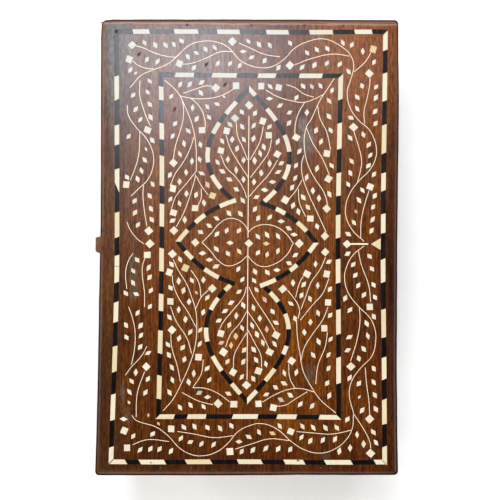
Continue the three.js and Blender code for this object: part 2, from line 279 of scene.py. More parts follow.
def board_wood(name, turn, half_size, wear=BOARD_WEAR):
    """Plain board wood: the grain, darker with dirt and handling along the board's edges."""
    material, tree, shader = new_surface(name, Specular_IOR_Level=0.4)
    grain = fill_grain(tree, turn)
    colour = lay_tone(tree, grain["Colour"], edge_mask(tree, half_size, wear), 0.55, DIRT)
    finish_surface(tree, shader, colour, grain["Roughness"], grain["Height"])
    return material


def wear_material(piece, material):
    piece.data.materials.clear()
    piece.data.materials.append(material)


def smooth_by_angle(degrees):
    bpy.ops.object.shade_smooth_by_angle(angle=math.radians(degrees))


def add_block(name, middle, size):
    """A squared block round a middle, laid out in the frame's own coordinates."""
    deselect()
    bpy.ops.mesh.primitive_cube_add(size=1, location=middle, scale=size)
    block = bpy.context.object
    block.name = name
    bpy.ops.object.transform_apply(location=True, rotation=True, scale=True)
    return block


def select_only(piece):
    deselect()
    piece.select_set(True)
    bpy.context.view_layer.objects.active = piece


def edit_where(piece, parts, chosen, operator, **settings):
    """Runs a mesh operator on the edges or the faces of a piece that chosen picks."""
    select_only(piece)
    bpy.ops.object.mode_set(mode="EDIT")
    bpy.ops.mesh.select_mode(type="EDGE")
    bpy.ops.mesh.select_all(action="DESELECT")
    bpy.ops.object.mode_set(mode="OBJECT")
    for part in getattr(piece.data, parts):
        part.select = chosen(part)
    bpy.ops.object.mode_set(mode="EDIT")
    operator(**settings)
    bpy.ops.object.mode_set(mode="OBJECT")


def bevel_where(piece, chosen, width, segments):
    """Rounds the edges whose two ends both lie where chosen says."""
    def picked(edge):
        return chosen(*[piece.data.vertices[i].co for i in edge.vertices])

    edit_where(
        piece, "edges", picked, bpy.ops.mesh.bevel, offset=width, segments=segments, affect="EDGES"
    )


def settle(piece, slot, *nodes):
    """The piece rides on the box and stands for the solids that it is named for; its slot is not used."""
    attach(piece, "root")
    if nodes:
        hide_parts(*nodes)


BASE_CORNER_ROUND = 0.0025
BASE_EDGE_ROUND = 0.0012
base_low, base_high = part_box("base_board")
plinth = add_block("plinth_board", (base_low + base_high) / 2, base_high - base_low)
bevel_where(plinth, lambda a, b: abs(a.z - b.z) > 0.001, BASE_CORNER_ROUND, 4)
bevel_where(plinth, lambda a, b: a.z == b.z and min(a.z, b.z) > 0.01, BASE_EDGE_ROUND, 3)
smooth_by_angle(35)
wear_material(plinth, board_wood("plinth_wood", 0.0, BOARD_HALF))
settle(plinth, "wood", "base_board")


# The walls: four boards set upright on the base board, the long ones over the ends of the short ones,
# each with shallow grooves for its string frame and its outer corners eased.
WALL_CORNER_EASE = 0.0009
WALLS_HALF = (0.1475, 0.095, 1.0)
WALL_WEAR = 0.0022
MERGE_WITHIN = 0.000002
TOUCHING = 1e-5
GRAIN_TURNS = {"front": 0.0, "back": 0.0, "left": math.pi / 2, "right": math.pi / 2}


def edit_all(operator, **settings):
    """Runs a mesh operator on the whole of the selected piece."""
    bpy.ops.object.mode_set(mode="EDIT")
    bpy.ops.mesh.select_all(action="SELECT")
    operator(**settings)
    bpy.ops.object.mode_set(mode="OBJECT")


def merged_copy(node, name):
    """A copy of a CAD piece, its loose triangles merged into one closed mesh."""
    piece = bpy.data.objects.new(name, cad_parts[node].data.copy())
    bpy.context.scene.collection.objects.link(piece)
    select_only(piece)
    edit_all(bpy.ops.mesh.remove_doubles, threshold=MERGE_WITHIN)
    return piece


corner_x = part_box("front_wall")[1].x
for side, turn in GRAIN_TURNS.items():
    wall = merged_copy(f"{side}_wall", f"{side}_wall_board")
    wall_low, wall_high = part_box(f"{side}_wall")
    outer_y = {"front": wall_low.y, "back": wall_high.y}.get(side)

    def outer_corner(a, b):
        on_corner = abs(a.y - outer_y) < TOUCHING and abs(abs(a.x) - corner_x) < TOUCHING
        return on_corner and abs(a.z - b.z) > 0.05

    if outer_y is not None:
        bevel_where(wall, outer_corner, WALL_CORNER_EASE, 3)
    smooth_by_angle(35)
    wear_material(wall, board_wood(f"{side}_wall_wood", turn, WALLS_HALF, WALL_WEAR))
    settle(wall, "wood", f"{side}_wall")


# The strings let into each wall: a frame of four strips, each a run of bone and ebony tiles with slanted
# joints, mitred at the corners, glued into its groove and polished flush.
TILE_DEPTH = 0.0014
TILE_PROUD = 0.00004
TILE_EASE = 0.03
TILE_END_EASE = 0.007
TILE_RIM_DROP = 0.05
JOINT_GAP = 0.00005
JOINT_LEAN = 0.09
JOINT_SLANT = 0.5
WALL_STRING = 0.0033
WALL_HALF_LENGTH = {"front": 0.1395, "back": 0.1395, "left": 0.0779, "right": 0.0779}
WALL_STRING_FOOT = 0.008
WALL_STRING_HEAD = 0.083
WALL_TILE = 0.0155
WALL_TILE_UNEVEN = 0.0012
WALLS_FOOT = 0.0121
random.seed(7)


def face_outwards():
    edit_all(bpy.ops.mesh.normals_make_consistent, inside=False)


def make_tile(name, cuts):
    """One tile, a unit long and wide, its top a little eased, cut in short lengths so that it can curve."""
    deselect()
    bpy.ops.mesh.primitive_grid_add(x_subdivisions=cuts, y_subdivisions=1, size=1)
    tile = bpy.context.object
    tile.name = name

    def raise_and_inset():
        bpy.ops.mesh.extrude_region_move(TRANSFORM_OT_translate={"value": (0, 0, 1)})
        bpy.ops.mesh.inset(thickness=TILE_EASE)

    edit_all(raise_and_inset)
    for vertex in tile.data.vertices:
        inner = vertex.co.z > 0.5 and abs(vertex.co.y) < 0.49
        rim = vertex.co.z > 0.5 and not inner
        if inner and abs(vertex.co.x) > 0.46:
            vertex.co.x = math.copysign(0.5 - TILE_END_EASE, vertex.co.x)
        vertex.co.z = 0.0 if inner else (-TILE_RIM_DROP if rim else -1.0)
    face_outwards()
    return tile


def own_copy(blank, tone):
    """A copy with a mesh of its own, which keeps its tone and where its rim meets the dark glue line."""
    piece = bpy.data.objects.new(blank.name, blank.data.copy())
    bpy.context.scene.collection.objects.link(piece)
    rim = [float(vertex.co.z < -0.01) for vertex in piece.data.vertices]
    for name, values in (("tone", [tone] * len(rim)), ("rim", rim)):
        piece.data.attributes.new(name, "FLOAT", "POINT").data.foreach_set("value", values)
    return piece


def lay_tile(blank, place, start, end):
    """Fits a tile between two joints. Each joint is its place along the string's two sides."""
    tile = own_copy(blank, random.random())
    for vertex in tile.data.vertices:
        share = vertex.co.y + 0.5
        begins = start[0] * (1 - share) + start[1] * share + JOINT_GAP
        finishes = end[0] * (1 - share) + end[1] * share - JOINT_GAP
        along = begins + (finishes - begins) * (vertex.co.x + 0.5)
        x, y = place(along, vertex.co.y)
        vertex.co = (x, y, vertex.co.z * TILE_DEPTH + TILE_PROUD)
    return tile


def lay_string(tiles, blank, place, joints, kinds):
    """A run of tiles from joint to joint, each put with those of its kind."""
    for kind, start, end in zip(kinds, joints, joints[1:]):
        tiles[kind].append(lay_tile(blank, place, start, end))


def straight_string(tiles, across_axis, middle, outer, corners, joints, first, slant, width, odd=()):
    """A strip between two mitred corners. Outer is -1 where its outer side is the lower one, middle gives
    where its centre line lies at each place along it, and odd the joints that lean unlike the rest."""
    half = width / 2
    near, far = corners
    ends = [(near - half, near + half), (far + half, far - half)]
    if outer > 0:
        ends = [(b, a) for a, b in ends]
    leans = [slant + random.uniform(-JOINT_LEAN, JOINT_LEAN) for _ in joints]
    for index, lean in odd:
        leans[index] = lean
    cuts = [(j - lean * half, j + lean * half) for j, lean in zip(joints, leans)]
    cuts = [ends[0]] + cuts + [ends[1]]
    kinds = [("BE" if first == "B" else "EB")[i % 2] for i in range(len(cuts) - 1)]

    def place(along, across):
        side = middle(along) + across * width
        return (along, side) if across_axis == "y" else (side, along)

    lay_string(tiles, short_tile, place, cuts, kinds)


def join_pieces(pieces, name, panel, material):
    """Joins pieces laid out flat into one, and sets them in the panel that they belong to."""
    deselect()
    for piece in pieces:
        piece.select_set(True)
    bpy.context.view_layer.objects.active = pieces[0]
    bpy.ops.object.join()
    joined = bpy.context.object
    joined.name = name
    joined.data.name = name
    joined.data.transform(panel)
    wear_material(joined, material)
    face_outwards()
    bpy.ops.object.shade_flat()
    return joined


def make_soft_patch():
    """A mask of a soft place, worn, stained, dusty or of painted sheen: 1 at its middle, fading raggedly to
    0 at its edge.
    """
    inputs = {"Place": VECTOR, "Middle": VECTOR, "Size": VECTOR, "Ragged": VALUE}
    group, given = new_group("soft_patch", inputs, {"Mask": VALUE})
    centred = three_way(group, "SUBTRACT", given["Place"], given["Middle"])
    scaled = three_way(group, "DIVIDE", centred, given["Size"])
    far = add_node(group, "ShaderNodeVectorMath", {0: scaled}, operation="LENGTH").outputs["Value"]
    rough_edge = reckon(group, "SUBTRACT", noise(group, given["Place"], (90, 260, 260), 4.0), 0.5)
    rough_edge = reckon(group, "MULTIPLY", rough_edge, given["Ragged"])
    reach = reckon(group, "ADD", far, rough_edge)
    add_node(group, "NodeGroupOutput", {"Mask": spread(group, reach, 0.15, 1.0, 1.0, 0.0)})
    return group


soft_patch = make_soft_patch()


def own_value(tree, name):
    return add_node(tree, "ShaderNodeAttribute", attribute_name=name).outputs["Fac"]


def glue_line(tree, colour):
    """Darkens a piece towards its rim, where old glue and dirt fill the joint."""
    dark = spread(tree, own_value(tree, "rim"), 0.1, 0.8, 0.0, 0.9)
    return blend(tree, dark, colour, (0.012, 0.006, 0.003, 1))


def make_bone():
    """Cream bone with faint streaks, each piece of its own tone: up to 1 cream, then paler and
    pinker, at 2 pink, at 3 yellow, at 4 grey."""
    material, tree, shader = new_surface("polished_bone", Specular_IOR_Level=0.15)
    place = object_place(tree)
    tone = own_value(tree, "tone")
    colour = blend(tree, spread(tree, tone, 0.0, 0.6), (0.585, 0.48, 0.295, 1), (0.62, 0.56, 0.41, 1))
    colour = blend(tree, spread(tree, tone, 0.8, 1.0, 0.0, 0.7), colour, (0.59, 0.48, 0.33, 1))
    chip = blend(tree, spread(tree, tone, 1.1, 1.3), (0.6, 0.52, 0.39, 1), (0.64, 0.58, 0.46, 1))
    colour = blend(tree, spread(tree, tone, 1.0, 1.05), colour, chip)
    for odd, own in ((2, (0.55, 0.33, 0.24, 1)), (3, (0.55, 0.42, 0.2, 1)), (4, (0.4, 0.36, 0.3, 1))):
        colour = blend(tree, spread(tree, tone, odd - 0.6, odd - 0.1), colour, own)
    # a grey patch over the bone towards the lid's front left corner: greyed bone, and painted sheen where
    # the window shines
    greyed_and_sheen = {"Place": place, "Middle": (-0.135, -0.03, 0.1152), "Size": (0.13, 0.15, 1.0), "Ragged": 0.2}
    colour = lay_tone(tree, colour, fill_group(tree, soft_patch, greyed_and_sheen)["Mask"], 0.8, (0.5, 0.52, 0.5, 1))
    streaks = noise(tree, place, (200, 900, 900), 3.0)
    colour = blend(tree, spread(tree, streaks, 0.45, 0.75, 0.0, 0.3), colour, (0.5, 0.38, 0.25, 1))
    specks = noise(tree, place, (1500, 1500, 1500), 2.0)
    colour = blend(tree, spread(tree, specks, 0.66, 0.78, 0.0, 0.5), colour, (0.25, 0.15, 0.08, 1))
    colour = glue_line(tree, colour)
    finish_surface(tree, shader, colour, spread(tree, streaks, 0.3, 0.7, 0.28, 0.42), specks, 0.00002)
    return material


def make_ebony():
    """Near-black ebony with a trace of brown in its grain, polished with the wood."""
    material, tree, shader = new_surface("polished_ebony", Specular_IOR_Level=0.3)
    place = object_place(tree)
    tone = own_value(tree, "tone")
    streaks = noise(tree, place, (70, 700, 700), 3.0)
    grain = spread(tree, streaks, 0.35, 0.75)
    colour = blend(tree, grain, (0.0014, 0.0008, 0.0007, 1), (0.005, 0.002, 0.0014, 1))
    colour = blend(tree, spread(tree, tone, 0.7, 1.0, 0.0, 0.35), colour, (0.016, 0.006, 0.003, 1))
    colour = glue_line(tree, colour)
    finish_surface(tree, shader, colour, spread(tree, streaks, 0.3, 0.7, 0.22, 0.28), streaks, 0.00002)
    return material


bone = make_bone()
ebony = make_ebony()
short_tile = make_tile("string_tile", 1)


def wall_panel(side):
    """The plane of a wall's outer face: x to the right as the wall is looked at, y up from its foot."""
    turn = {"front": 0, "right": 1, "back": 2, "left": 3}[side] * math.pi / 2
    out = WALLS_HALF[side in ("front", "back")]
    return (
        Matrix.Translation(Vector(BOX_MIDDLE) + Vector((0, 0, WALLS_FOOT)))
        @ Matrix.Rotation(turn, 4, "Z")
        @ Matrix.Translation((0, -out, 0))
        @ Matrix.Rotation(math.pi / 2, 4, "X")
    )


def level(middle):
    return lambda along: middle


def even_joints(start, end):
    """Joints about a tile apart, placed by eye and so a little uneven."""
    count = round((end - start) / WALL_TILE)
    step = (end - start) / count
    return [start + step * i + random.uniform(-WALL_TILE_UNEVEN, WALL_TILE_UNEVEN) for i in range(1, count)]


def settle_tiles(tiles, name, panel, strips):
    """Joins the bone tiles and the ebony ones of some strings and sets them in their grooves."""
    for kind, slot, material in (("B", "bone", bone), ("E", "ebony", ebony)):
        settle(join_pieces(tiles[kind], f"{name}_{slot}_tiles", panel, material), slot, *strips)


for side, half_length in WALL_HALF_LENGTH.items():
    inner = half_length - WALL_STRING / 2
    foot = WALL_STRING_FOOT + WALL_STRING / 2
    head = WALL_STRING_HEAD - WALL_STRING / 2
    tiles = {"B": [], "E": []}
    for across_axis, middles, corners, first, slant in (
        ("y", (foot, head), (-inner, inner), "B", JOINT_SLANT),
        ("x", (-inner, inner), (foot, head), "E", -JOINT_SLANT),
    ):
        for middle, outer in zip(middles, (-1, 1)):
            joints = even_joints(*corners)
            straight_string(
                tiles, across_axis, level(middle), outer, corners, joints, first, slant, WALL_STRING
            )
    strips = [f"{side}_string_{edge}" for edge in ("bottom", "right", "top", "left")]
    settle_tiles(tiles, f"{side}_wall", wall_panel(side), strips)


# The lid: one wide board with a narrower board glued on along its front, its upper edge well rounded by
# hand and wear, grooved for the strings, and a small worn thumb lift left standing out in front. It lies
# loose on the walls.
LID_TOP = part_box("lid_board")[1].z
LID_CORNER = Vector((-BOARD_HALF[0], BOX_MIDDLE[1] - BOARD_HALF[1], LID_TOP))
lid_panel = Matrix.Translation(LID_CORNER)
MM = 0.001


def as_laid(u, v):
    """Where work marked out at u along and v across the lid lies, in millimetres: it was set out by eye,
    and so nothing is quite square."""
    return u + 0.83 - 0.0049 * v, v + 0.42 + 0.0016 * v - 0.0018 * u


LID_THICK = 0.012
LID_LONG, LID_WIDE = 305, 200
LID_CUTS = 23
LID_CORNER_ROUND = 0.0026
LID_EDGE_ROUND = 0.0025
LID_FOOT_EASE = 0.001
# How far each edge has moved from true, in millimetres: the ends stand out a little, and the long edges
# have been planed hollow.
FRONT_EDGE = ((0, -0.5), (60, 0.25), (130, 0.9), (200, 0.5), (250, 0.2), (305, -0.7))
BACK_EDGE = ((0, 0.7), (60, 1.15), (110, 0.55), (150, 0.15), (200, -0.05), (250, -0.05), (305, 0.7))
LEFT_EDGE = ((0, 0.2), (50, -0.1), (100, -0.4), (150, -0.5), (200, -0.4))
RIGHT_EDGE = ((0, 1.3), (50, 1.1), (100, 0.6), (150, 0.0), (200, -0.3))
# Handling has rubbed the edges: how deep in millimetres, how far in, how finely, and how much of it from
# above. The corner at the left of the front is chipped away.
RUB, RUB_REACH = 0.16, 0.006
RUB_FINE, RUB_FINE_UP = 0.06, 90
RUB_DOWN = 0.8
CHIP, CHIP_REACH = 1.1, 5


def along_edge(points, at):
    """The value at a place along an edge, straight from one given point to the next."""
    for (before, first), (after, second) in zip(points, points[1:]):
        if at <= after:
            share = max(0.0, (at - before) / (after - before))
            return first + (second - first) * share
    return points[-1][1]


lid_foot = LID_TOP - LID_THICK
lid = add_block(
    "lid", (0, BOX_MIDDLE[1], LID_TOP - LID_THICK / 2), (LID_LONG * MM, LID_WIDE * MM, LID_THICK)
)
edit_all(bpy.ops.mesh.subdivide, number_cuts=LID_CUTS)


def from_edges(point):
    """How far a point lies inside the lid's ends and its long sides, before its corners are rounded."""
    return BOARD_HALF[0] - abs(point.x), BOARD_HALF[1] - abs(point.y - BOX_MIDDLE[1])


def at_lid_corner(point):
    x, y = from_edges(point)
    return abs(x) < TOUCHING and abs(y) < TOUCHING


bevel_where(lid, lambda a, b: at_lid_corner(a) and at_lid_corner(b), LID_CORNER_ROUND, 5)


ON_LEVEL, ON_OUTLINE, NEAR_OUTLINE = 1e-6, 2e-5, 8e-5


def on_rim(level):
    """Whether both ends of an edge lie on the lid's outline, at a level."""
    def chosen(a, b):
        on_level = abs(a.z - level) <= ON_LEVEL and abs(b.z - level) <= ON_LEVEL
        on_outline = outline_gap(a) < ON_OUTLINE and outline_gap(b) < ON_OUTLINE
        return on_level and on_outline and outline_gap((a + b) / 2) < NEAR_OUTLINE
    return chosen


def outline_gap(point):
    """How far inside the lid's outline, with its rounded corners, a point lies."""
    x, y = from_edges(point)
    if x < LID_CORNER_ROUND and y < LID_CORNER_ROUND:
        return LID_CORNER_ROUND - math.hypot(LID_CORNER_ROUND - x, LID_CORNER_ROUND - y)
    return min(x, y)


bevel_where(lid, on_rim(LID_TOP), LID_EDGE_ROUND, 7)
bevel_where(lid, on_rim(lid_foot), LID_FOOT_EASE, 2)
for vertex in lid.data.vertices:
    u = (vertex.co.x - LID_CORNER.x) / MM
    v = (vertex.co.y - LID_CORNER.y) / MM
    near_right, near_back = min(1, max(0, u / LID_LONG)), min(1, max(0, v / LID_WIDE))
    move_u = along_edge(LEFT_EDGE, v) * (1 - near_right) + along_edge(RIGHT_EDGE, v) * near_right
    move_v = along_edge(FRONT_EDGE, u) * (1 - near_back) + along_edge(BACK_EDGE, u) * near_back
    rub = fractal(Vector((u * RUB_FINE, v * RUB_FINE, vertex.co.z * RUB_FINE_UP)), 1.0, 2.0, 3) * RUB
    edge_share = max(0.0, 1 - outline_gap(vertex.co) / RUB_REACH)
    vertex.co.x += (move_u + rub * edge_share) * MM
    vertex.co.y += (move_v - rub * edge_share) * MM
    chipped = max(0.0, 1 - math.hypot(u, v) / CHIP_REACH) * CHIP * MM
    vertex.co.x += chipped
    vertex.co.y += chipped
    if vertex.co.z > lid_foot + 0.002:
        vertex.co.z -= abs(rub) * edge_share * RUB_DOWN * MM
select_only(lid)
smooth_by_angle(40)


LID_PLACES = (
    # middle along and across in millimetres, reach along and across, raggedness, strength, way, tone
    (150, 100, 80, 62, 0.4, 0.25, "MIX", (0.2, 0.058, 0.006, 1)),
    (25, 175, 70, 60, 0.4, 0.5, "MIX", (0.29, 0.1, 0.035, 1)),
    # a pale greyish patch towards the front left corner: dust, and painted sheen where the window's shine
    # lies
    (20, 50, 75, 110, 0.5, 0.45, "MIX", (0.18, 0.125, 0.12, 1)),
    # a greyish dark patch along the front margin: greyed wood, and painted reflection that greys it
    (80, 10, 110, 42, 0.5, 0.5, "MIX", (0.07, 0.046, 0.036, 1)),
    # a pale bluish grey patch at the front left corner: dust, and painted reflection of the window
    (12, 2, 75, 26, 0.5, 0.8, "MIX", (0.19, 0.175, 0.19, 1)),
    (280, 15, 150, 90, 0.4, 0.95, "MULTIPLY", (0.5, 0.46, 0.42, 1)),
    (230, 190, 210, 62, 0.4, 0.9, "MULTIPLY", (0.6, 0.5, 0.4, 1)),
    (314, 115, 54, 170, 0.3, 1.0, "MULTIPLY", (0.4, 0.31, 0.18, 1)),
    (180, 204, 260, 22, 0.4, 1.0, "MULTIPLY", (0.3, 0.2, 0.1, 1)),
    (265, -4, 170, 19, 0.4, 1.0, "MULTIPLY", (0.5, 0.34, 0.18, 1)),
    (82, 139, 17, 7.5, 1.4, 0.8, "MIX", (0.16, 0.13, 0.11, 1)),
    (71, 135.8, 8, 4.5, 1.2, 0.75, "MIX", (0.17, 0.14, 0.115, 1)),
    (63.5, 136, 5.5, 3.6, 1.0, 0.85, "MIX", (0.045, 0.018, 0.016, 1)),
    (186, 23.8, 6, 4, 1.0, 0.75, "MIX", (0.11, 0.085, 0.065, 1)),
    (238, 142, 9, 6, 1.4, 0.7, "MIX", (0.085, 0.065, 0.05, 1)),
    (170, 23.5, 26, 6, 1.5, 0.6, "MIX", (0.1, 0.075, 0.055, 1)),
    (252, 17, 16, 2.4, 1.6, 0.65, "MIX", (0.13, 0.1, 0.075, 1)),
    (268, 21, 7, 3.6, 1.6, 0.6, "MIX", (0.11, 0.085, 0.06, 1)),
    (11, 147.5, 5, 4, 1.2, 0.6, "MIX", (0.18, 0.15, 0.13, 1)),
    (292, 152.5, 5, 4, 1.2, 0.6, "MIX", (0.1, 0.075, 0.055, 1)),
)
EDGE_NICKS = (
    (143.2, 2.2, 1.7, 2.4, 0.3, 1.0, "MIX", (0.012, 0.005, 0.003, 1)),
    (158.6, 0.0, 1.5, 2.2, 0.3, 1.0, "MIX", (0.01, 0.004, 0.002, 1)),
)


def lay_place(tree, place, colour, row):
    """Colours one worn, stained or painted-sheen place on the lid."""
    along, across, long_reach, wide_reach, ragged, strength, way, tone = row
    values = {
        "Place": place,
        "Middle": (LID_CORNER.x + along * MM, LID_CORNER.y + across * MM, LID_TOP),
        "Size": (long_reach * MM, wide_reach * MM, 1.0),
        "Ragged": ragged,
    }
    return lay_tone(tree, colour, fill_group(tree, soft_patch, values)["Mask"], strength, tone, way)


BOARD_JOINT = LID_CORNER.y + 0.0163
LID_WEAR = 0.006


def make_lid_wood():
    """The lid's wood: greyer towards its front left corner with dust and painted sheen, orange at its
    middle, darker with handling along its edges, with small greyed and stained places."""
    material, tree, shader = new_surface("lid_wood", Specular_IOR_Level=0.3)
    place = object_place(tree)
    grain = fill_grain(tree, 0.0)
    edge = edge_mask(tree, BOARD_HALF, LID_WEAR)
    colour = grain["Colour"]
    for row in LID_PLACES:
        colour = lay_place(tree, place, colour, row)
    x, y, z = add_node(tree, "ShaderNodeSeparateXYZ", {"Vector": place}).outputs

    # the narrower board along the front, and the thin dark joint behind it
    front = spread(tree, y, BOARD_JOINT - 0.0003, BOARD_JOINT + 0.0003, 1.0, 0.0)
    colour = lay_tone(tree, colour, front, 0.4, (0.06, 0.026, 0.008, 1))
    joint = reckon(tree, "COMPARE", y, BOARD_JOINT, 0.00016)
    colour = lay_tone(tree, colour, joint, 0.6, (0.02, 0.01, 0.006, 1))

    # rough grain, hairline cracks and dark flecks
    tooth = spread(tree, noise(tree, place, (240, 720, 720), 4.0), 0.38, 0.62, 0.0, 0.8)
    colour = blend(tree, tooth, colour, (0.5, 0.42, 0.34, 1), "MULTIPLY")
    cracks = reckon(tree, "COMPARE", noise(tree, place, (28, 60, 60), 3.0), 0.5, 0.004)
    cracked = spread(tree, noise(tree, place, (45, 45, 45), 2.0), 0.56, 0.6, 0.0, 0.7)
    colour = lay_tone(tree, colour, cracks, cracked, PORE)
    flecks = spread(tree, noise(tree, place, (650, 1000, 1000), 2.0), 0.62, 0.74, 0.0, 0.6)
    colour = blend(tree, flecks, colour, (0.02, 0.008, 0.003, 1))

    # edges paler, most at the left and the front, from rubbing and from painted sheen towards the window,
    # and dark nicks in them
    worn = spread(tree, x, LID_CORNER.x + 0.03, LID_CORNER.x + 0.2, 0.65, 0.15)
    worn = reckon(tree, "MULTIPLY", spread(tree, edge, 0.6, 1.0), worn)
    toward_back = spread(tree, y, LID_CORNER.y + 0.06, LID_CORNER.y + 0.19, 1.0, 0.3)
    colour = lay_tone(tree, colour, worn, toward_back, (0.2, 0.09, 0.04, 1))
    for row in EDGE_NICKS:
        colour = lay_place(tree, place, colour, row)

    # the left end's ragged brown edge, and inside it a pale line of dust and painted highlight, where the
    # rounding meets the top
    ragged = reckon(tree, "SUBTRACT", noise(tree, place, (900, 90, 300), 4.0), 0.5)
    ragged = reckon(tree, "MULTIPLY", ragged, 0.0022)
    from_left = reckon(tree, "ADD", reckon(tree, "SUBTRACT", x, LID_CORNER.x), ragged)
    on_top = spread(tree, z, LID_TOP - 0.004, LID_TOP - 0.002)
    band = spread(tree, from_left, 0.0019, 0.0025, 0.7, 0.0)
    colour = lay_tone(tree, colour, on_top, band, (0.13, 0.042, 0.02, 1))
    rim = spread(tree, from_left, 0.0027, 0.0038, 0.4, 0.0)
    colour = lay_tone(tree, colour, spread(tree, from_left, 0.002, 0.0026), rim, (0.42, 0.34, 0.3, 1))

    dulled = spread(tree, edge, 0.35, 0.95, 0.0, 0.08)
    roughness = reckon(tree, "ADD", grain["Roughness"], dulled)
    finish_surface(tree, shader, colour, roughness, grain["Height"])
    return material


lid_wood = make_lid_wood()
wear_material(lid, lid_wood)
settle(lid, "wood", "lid_board")

LIFT_DEEP = 0.006
LIFT_WIDER = 0.0018
LIFT_SHIFT = 0.0008
LIFT_ROUND = 0.0007
LIFT_WORN_RIGHT, LIFT_WORN_LEFT = 0.62, 0.84
FLUSH = 0.00003
lift_low, lift_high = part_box("thumb_lift")
lift_front = lift_low.y + 0.001
lift_middle = (lift_low.x + lift_high.x) / 2 + LIFT_SHIFT
thumb_lift = add_block(
    "worn_thumb_lift",
    (lift_middle, lift_low.y + LIFT_DEEP / 2, (lift_low.z + lift_high.z) / 2),
    (lift_high.x - lift_low.x + LIFT_WIDER, LIFT_DEEP, lift_high.z - lift_low.z),
)
for vertex in thumb_lift.data.vertices:
    if vertex.co.y < lift_front:
        outwards = LIFT_WORN_RIGHT if vertex.co.x > lift_middle else LIFT_WORN_LEFT
        vertex.co.x = lift_middle + (vertex.co.x - lift_middle) * outwards
    if vertex.co.z > lift_high.z - 0.0001:
        vertex.co.z = LID_TOP + FLUSH
bevel_where(thumb_lift, lambda a, b: min(a.y, b.y) < lift_front, LIFT_ROUND, 3)
wear_material(thumb_lift, lid_wood)
settle(thumb_lift, "wood", "thumb_lift")


# The outer and inner string frames of the lid: strips of bone and ebony tiles, cut by hand to uneven
# lengths with slanted joints, laid in grooves and mitred at the corners.
STRING_WIDTH = 0.0032
LID_FRAMES = {
    "outer": {
        "corners": (8.4, 296.9, 10.1, 191.9),
        "left": (
            "E", 0.25, ((10, 8.6), (57, 8.25), (118, 8.4), (148, 8.25), (176, 7.8), (192, 7.7)),
            (20.8, 32.1, 48.6, 65, 77.6, 93, 110.8, 126, 139.9, 155.8, 170.4, 182.3),
        ),
        "right": (
            "B", 0.55, ((10, 297.2), (37, 297.3), (68, 296.8), (102, 296.5), (161, 296.6), (192, 296.1)),
            (20, 29, 45.9, 59.6, 76.6, 94.1, 110.2, 125, 138.3, 152, 169.8, 185),
        ),
        "front": (
            "E", -0.33, ((8, 10.1), (46, 10.8), (109, 11.75), (168, 12.4), (228, 11.6), (297, 9.8)),
            (37.9, 54.3, 71.2, 84.8, 100.9, 113.6, 130.1, 147.1, 159, 177.3, 190.3, 203.8, 219.7, 237,
             251.6, 269.1, 286.6),
        ),
        "back": (
            "B", -0.36, ((8, 191.95), (45, 191.55), (110, 190.7), (169, 190.5), (234, 191.35), (297, 191.8)),
            (20.5, 35.9, 54.9, 70.9, 90.3, 103.4, 115.6, 130.9, 144, 161.3, 177, 194.8, 213.8, 226.8,
             241.6, 254.7, 271.3, 285.9),
        ),
    },
    "inner": {
        "corners": (37.9, 266.9, 40.6, 161.5),
        "left": (
            "E", -0.3, ((40, 37.75), (83, 37.9), (111, 38.05), (162, 37.9)),
            (49.6, 62.4, 74.5, 91.3, 105.4, 117.6, 133.3, 148.9),
        ),
        "right": (
            "B", -0.3, ((40, 267.2), (66, 266.95), (99, 266.65), (126, 266.6), (162, 266.85)),
            (51.7, 60.3, 72.8, 90.3, 107.3, 119.9, 133, 147.9),
        ),
        "front": (
            "E", 0.2, ((38, 40.5), (50, 40.8), (75, 41.5), (132, 42.15), (190, 42.2), (247, 41.45),
                       (267, 41.1)),
            (45.1, 54.5, 69.9, 81.1, 91.9, 112.4, 124.4, 139.8, 154.2, 169.8, 184.8, 196.3, 209.2, 224.7,
             239.1, 254.9),
        ),
        "back": (
            "B", -0.28, ((38, 161.9), (78, 161.1), (111, 160.65), (139, 160.3), (169, 160.4), (203, 160.8),
                        (267, 161.2)),
            (54, 69.8, 87.4, 103.4, 119, 131.7, 147.3, 161.4, 177.5, 195.1, 211.7, 226.9, 244.4),
        ),
    },
}


# In the outer frame's front strip the end of one tile has split off at a long slant.
SPLIT_JOINTS = {("outer", "front"): ((5, 2.3),)}


def bowed(points):
    return lambda along: along_edge(points, along / MM) * MM


for ring, plan in LID_FRAMES.items():
    left_u, right_u, front_v, back_v = [value * MM for value in plan["corners"]]
    sides = (
        ("left", "x", -1, (front_v, back_v)),
        ("right", "x", 1, (front_v, back_v)),
        ("front", "y", -1, (left_u, right_u)),
        ("back", "y", 1, (left_u, right_u)),
    )
    tiles = {"B": [], "E": []}
    for side, across_axis, outer, corners in sides:
        first, slant, middles, joints = plan[side]
        if across_axis == "x":
            laid = [as_laid(middles[0][1], joint)[1] * MM for joint in joints]
        else:
            laid = [as_laid(joint, middles[0][1])[0] * MM for joint in joints]
        odd = SPLIT_JOINTS.get((ring, side), ())
        straight_string(
            tiles, across_axis, bowed(middles), outer, corners, laid, first, slant, STRING_WIDTH, odd
        )
    settle_tiles(tiles, ring, lid_panel, [f"{ring}_string_{side[0]}" for side in sides])


# The medallion: four lobes of the same tiles, sawn to the curve, two long ones along the lid and two
# short pointed ones across it, which meet in four cusps.
LOBE_STRING = 3.0
MEDALLION = (150.5, 100.0)
LOBE_HALF_WIDTH = 27.6
LOBE_POINTS = 24
LOBE_RUN_IN = 1.6
LONG_LOBE_TRIM = 1.9
REACH = {"left": 103.7, "right": 106.0, "front": 47.0, "back": 45.7}
CUSPS = {
    ("left", "front"): (27.7, 9.7),
    ("left", "back"): (26.2, 9.3),
    ("right", "front"): (27.5, 10.0),
    ("right", "back"): (28.7, 9.7),
}


def bezier(*points):
    return interpolate_bezier(*[Vector(p) for p in points], LOBE_POINTS)


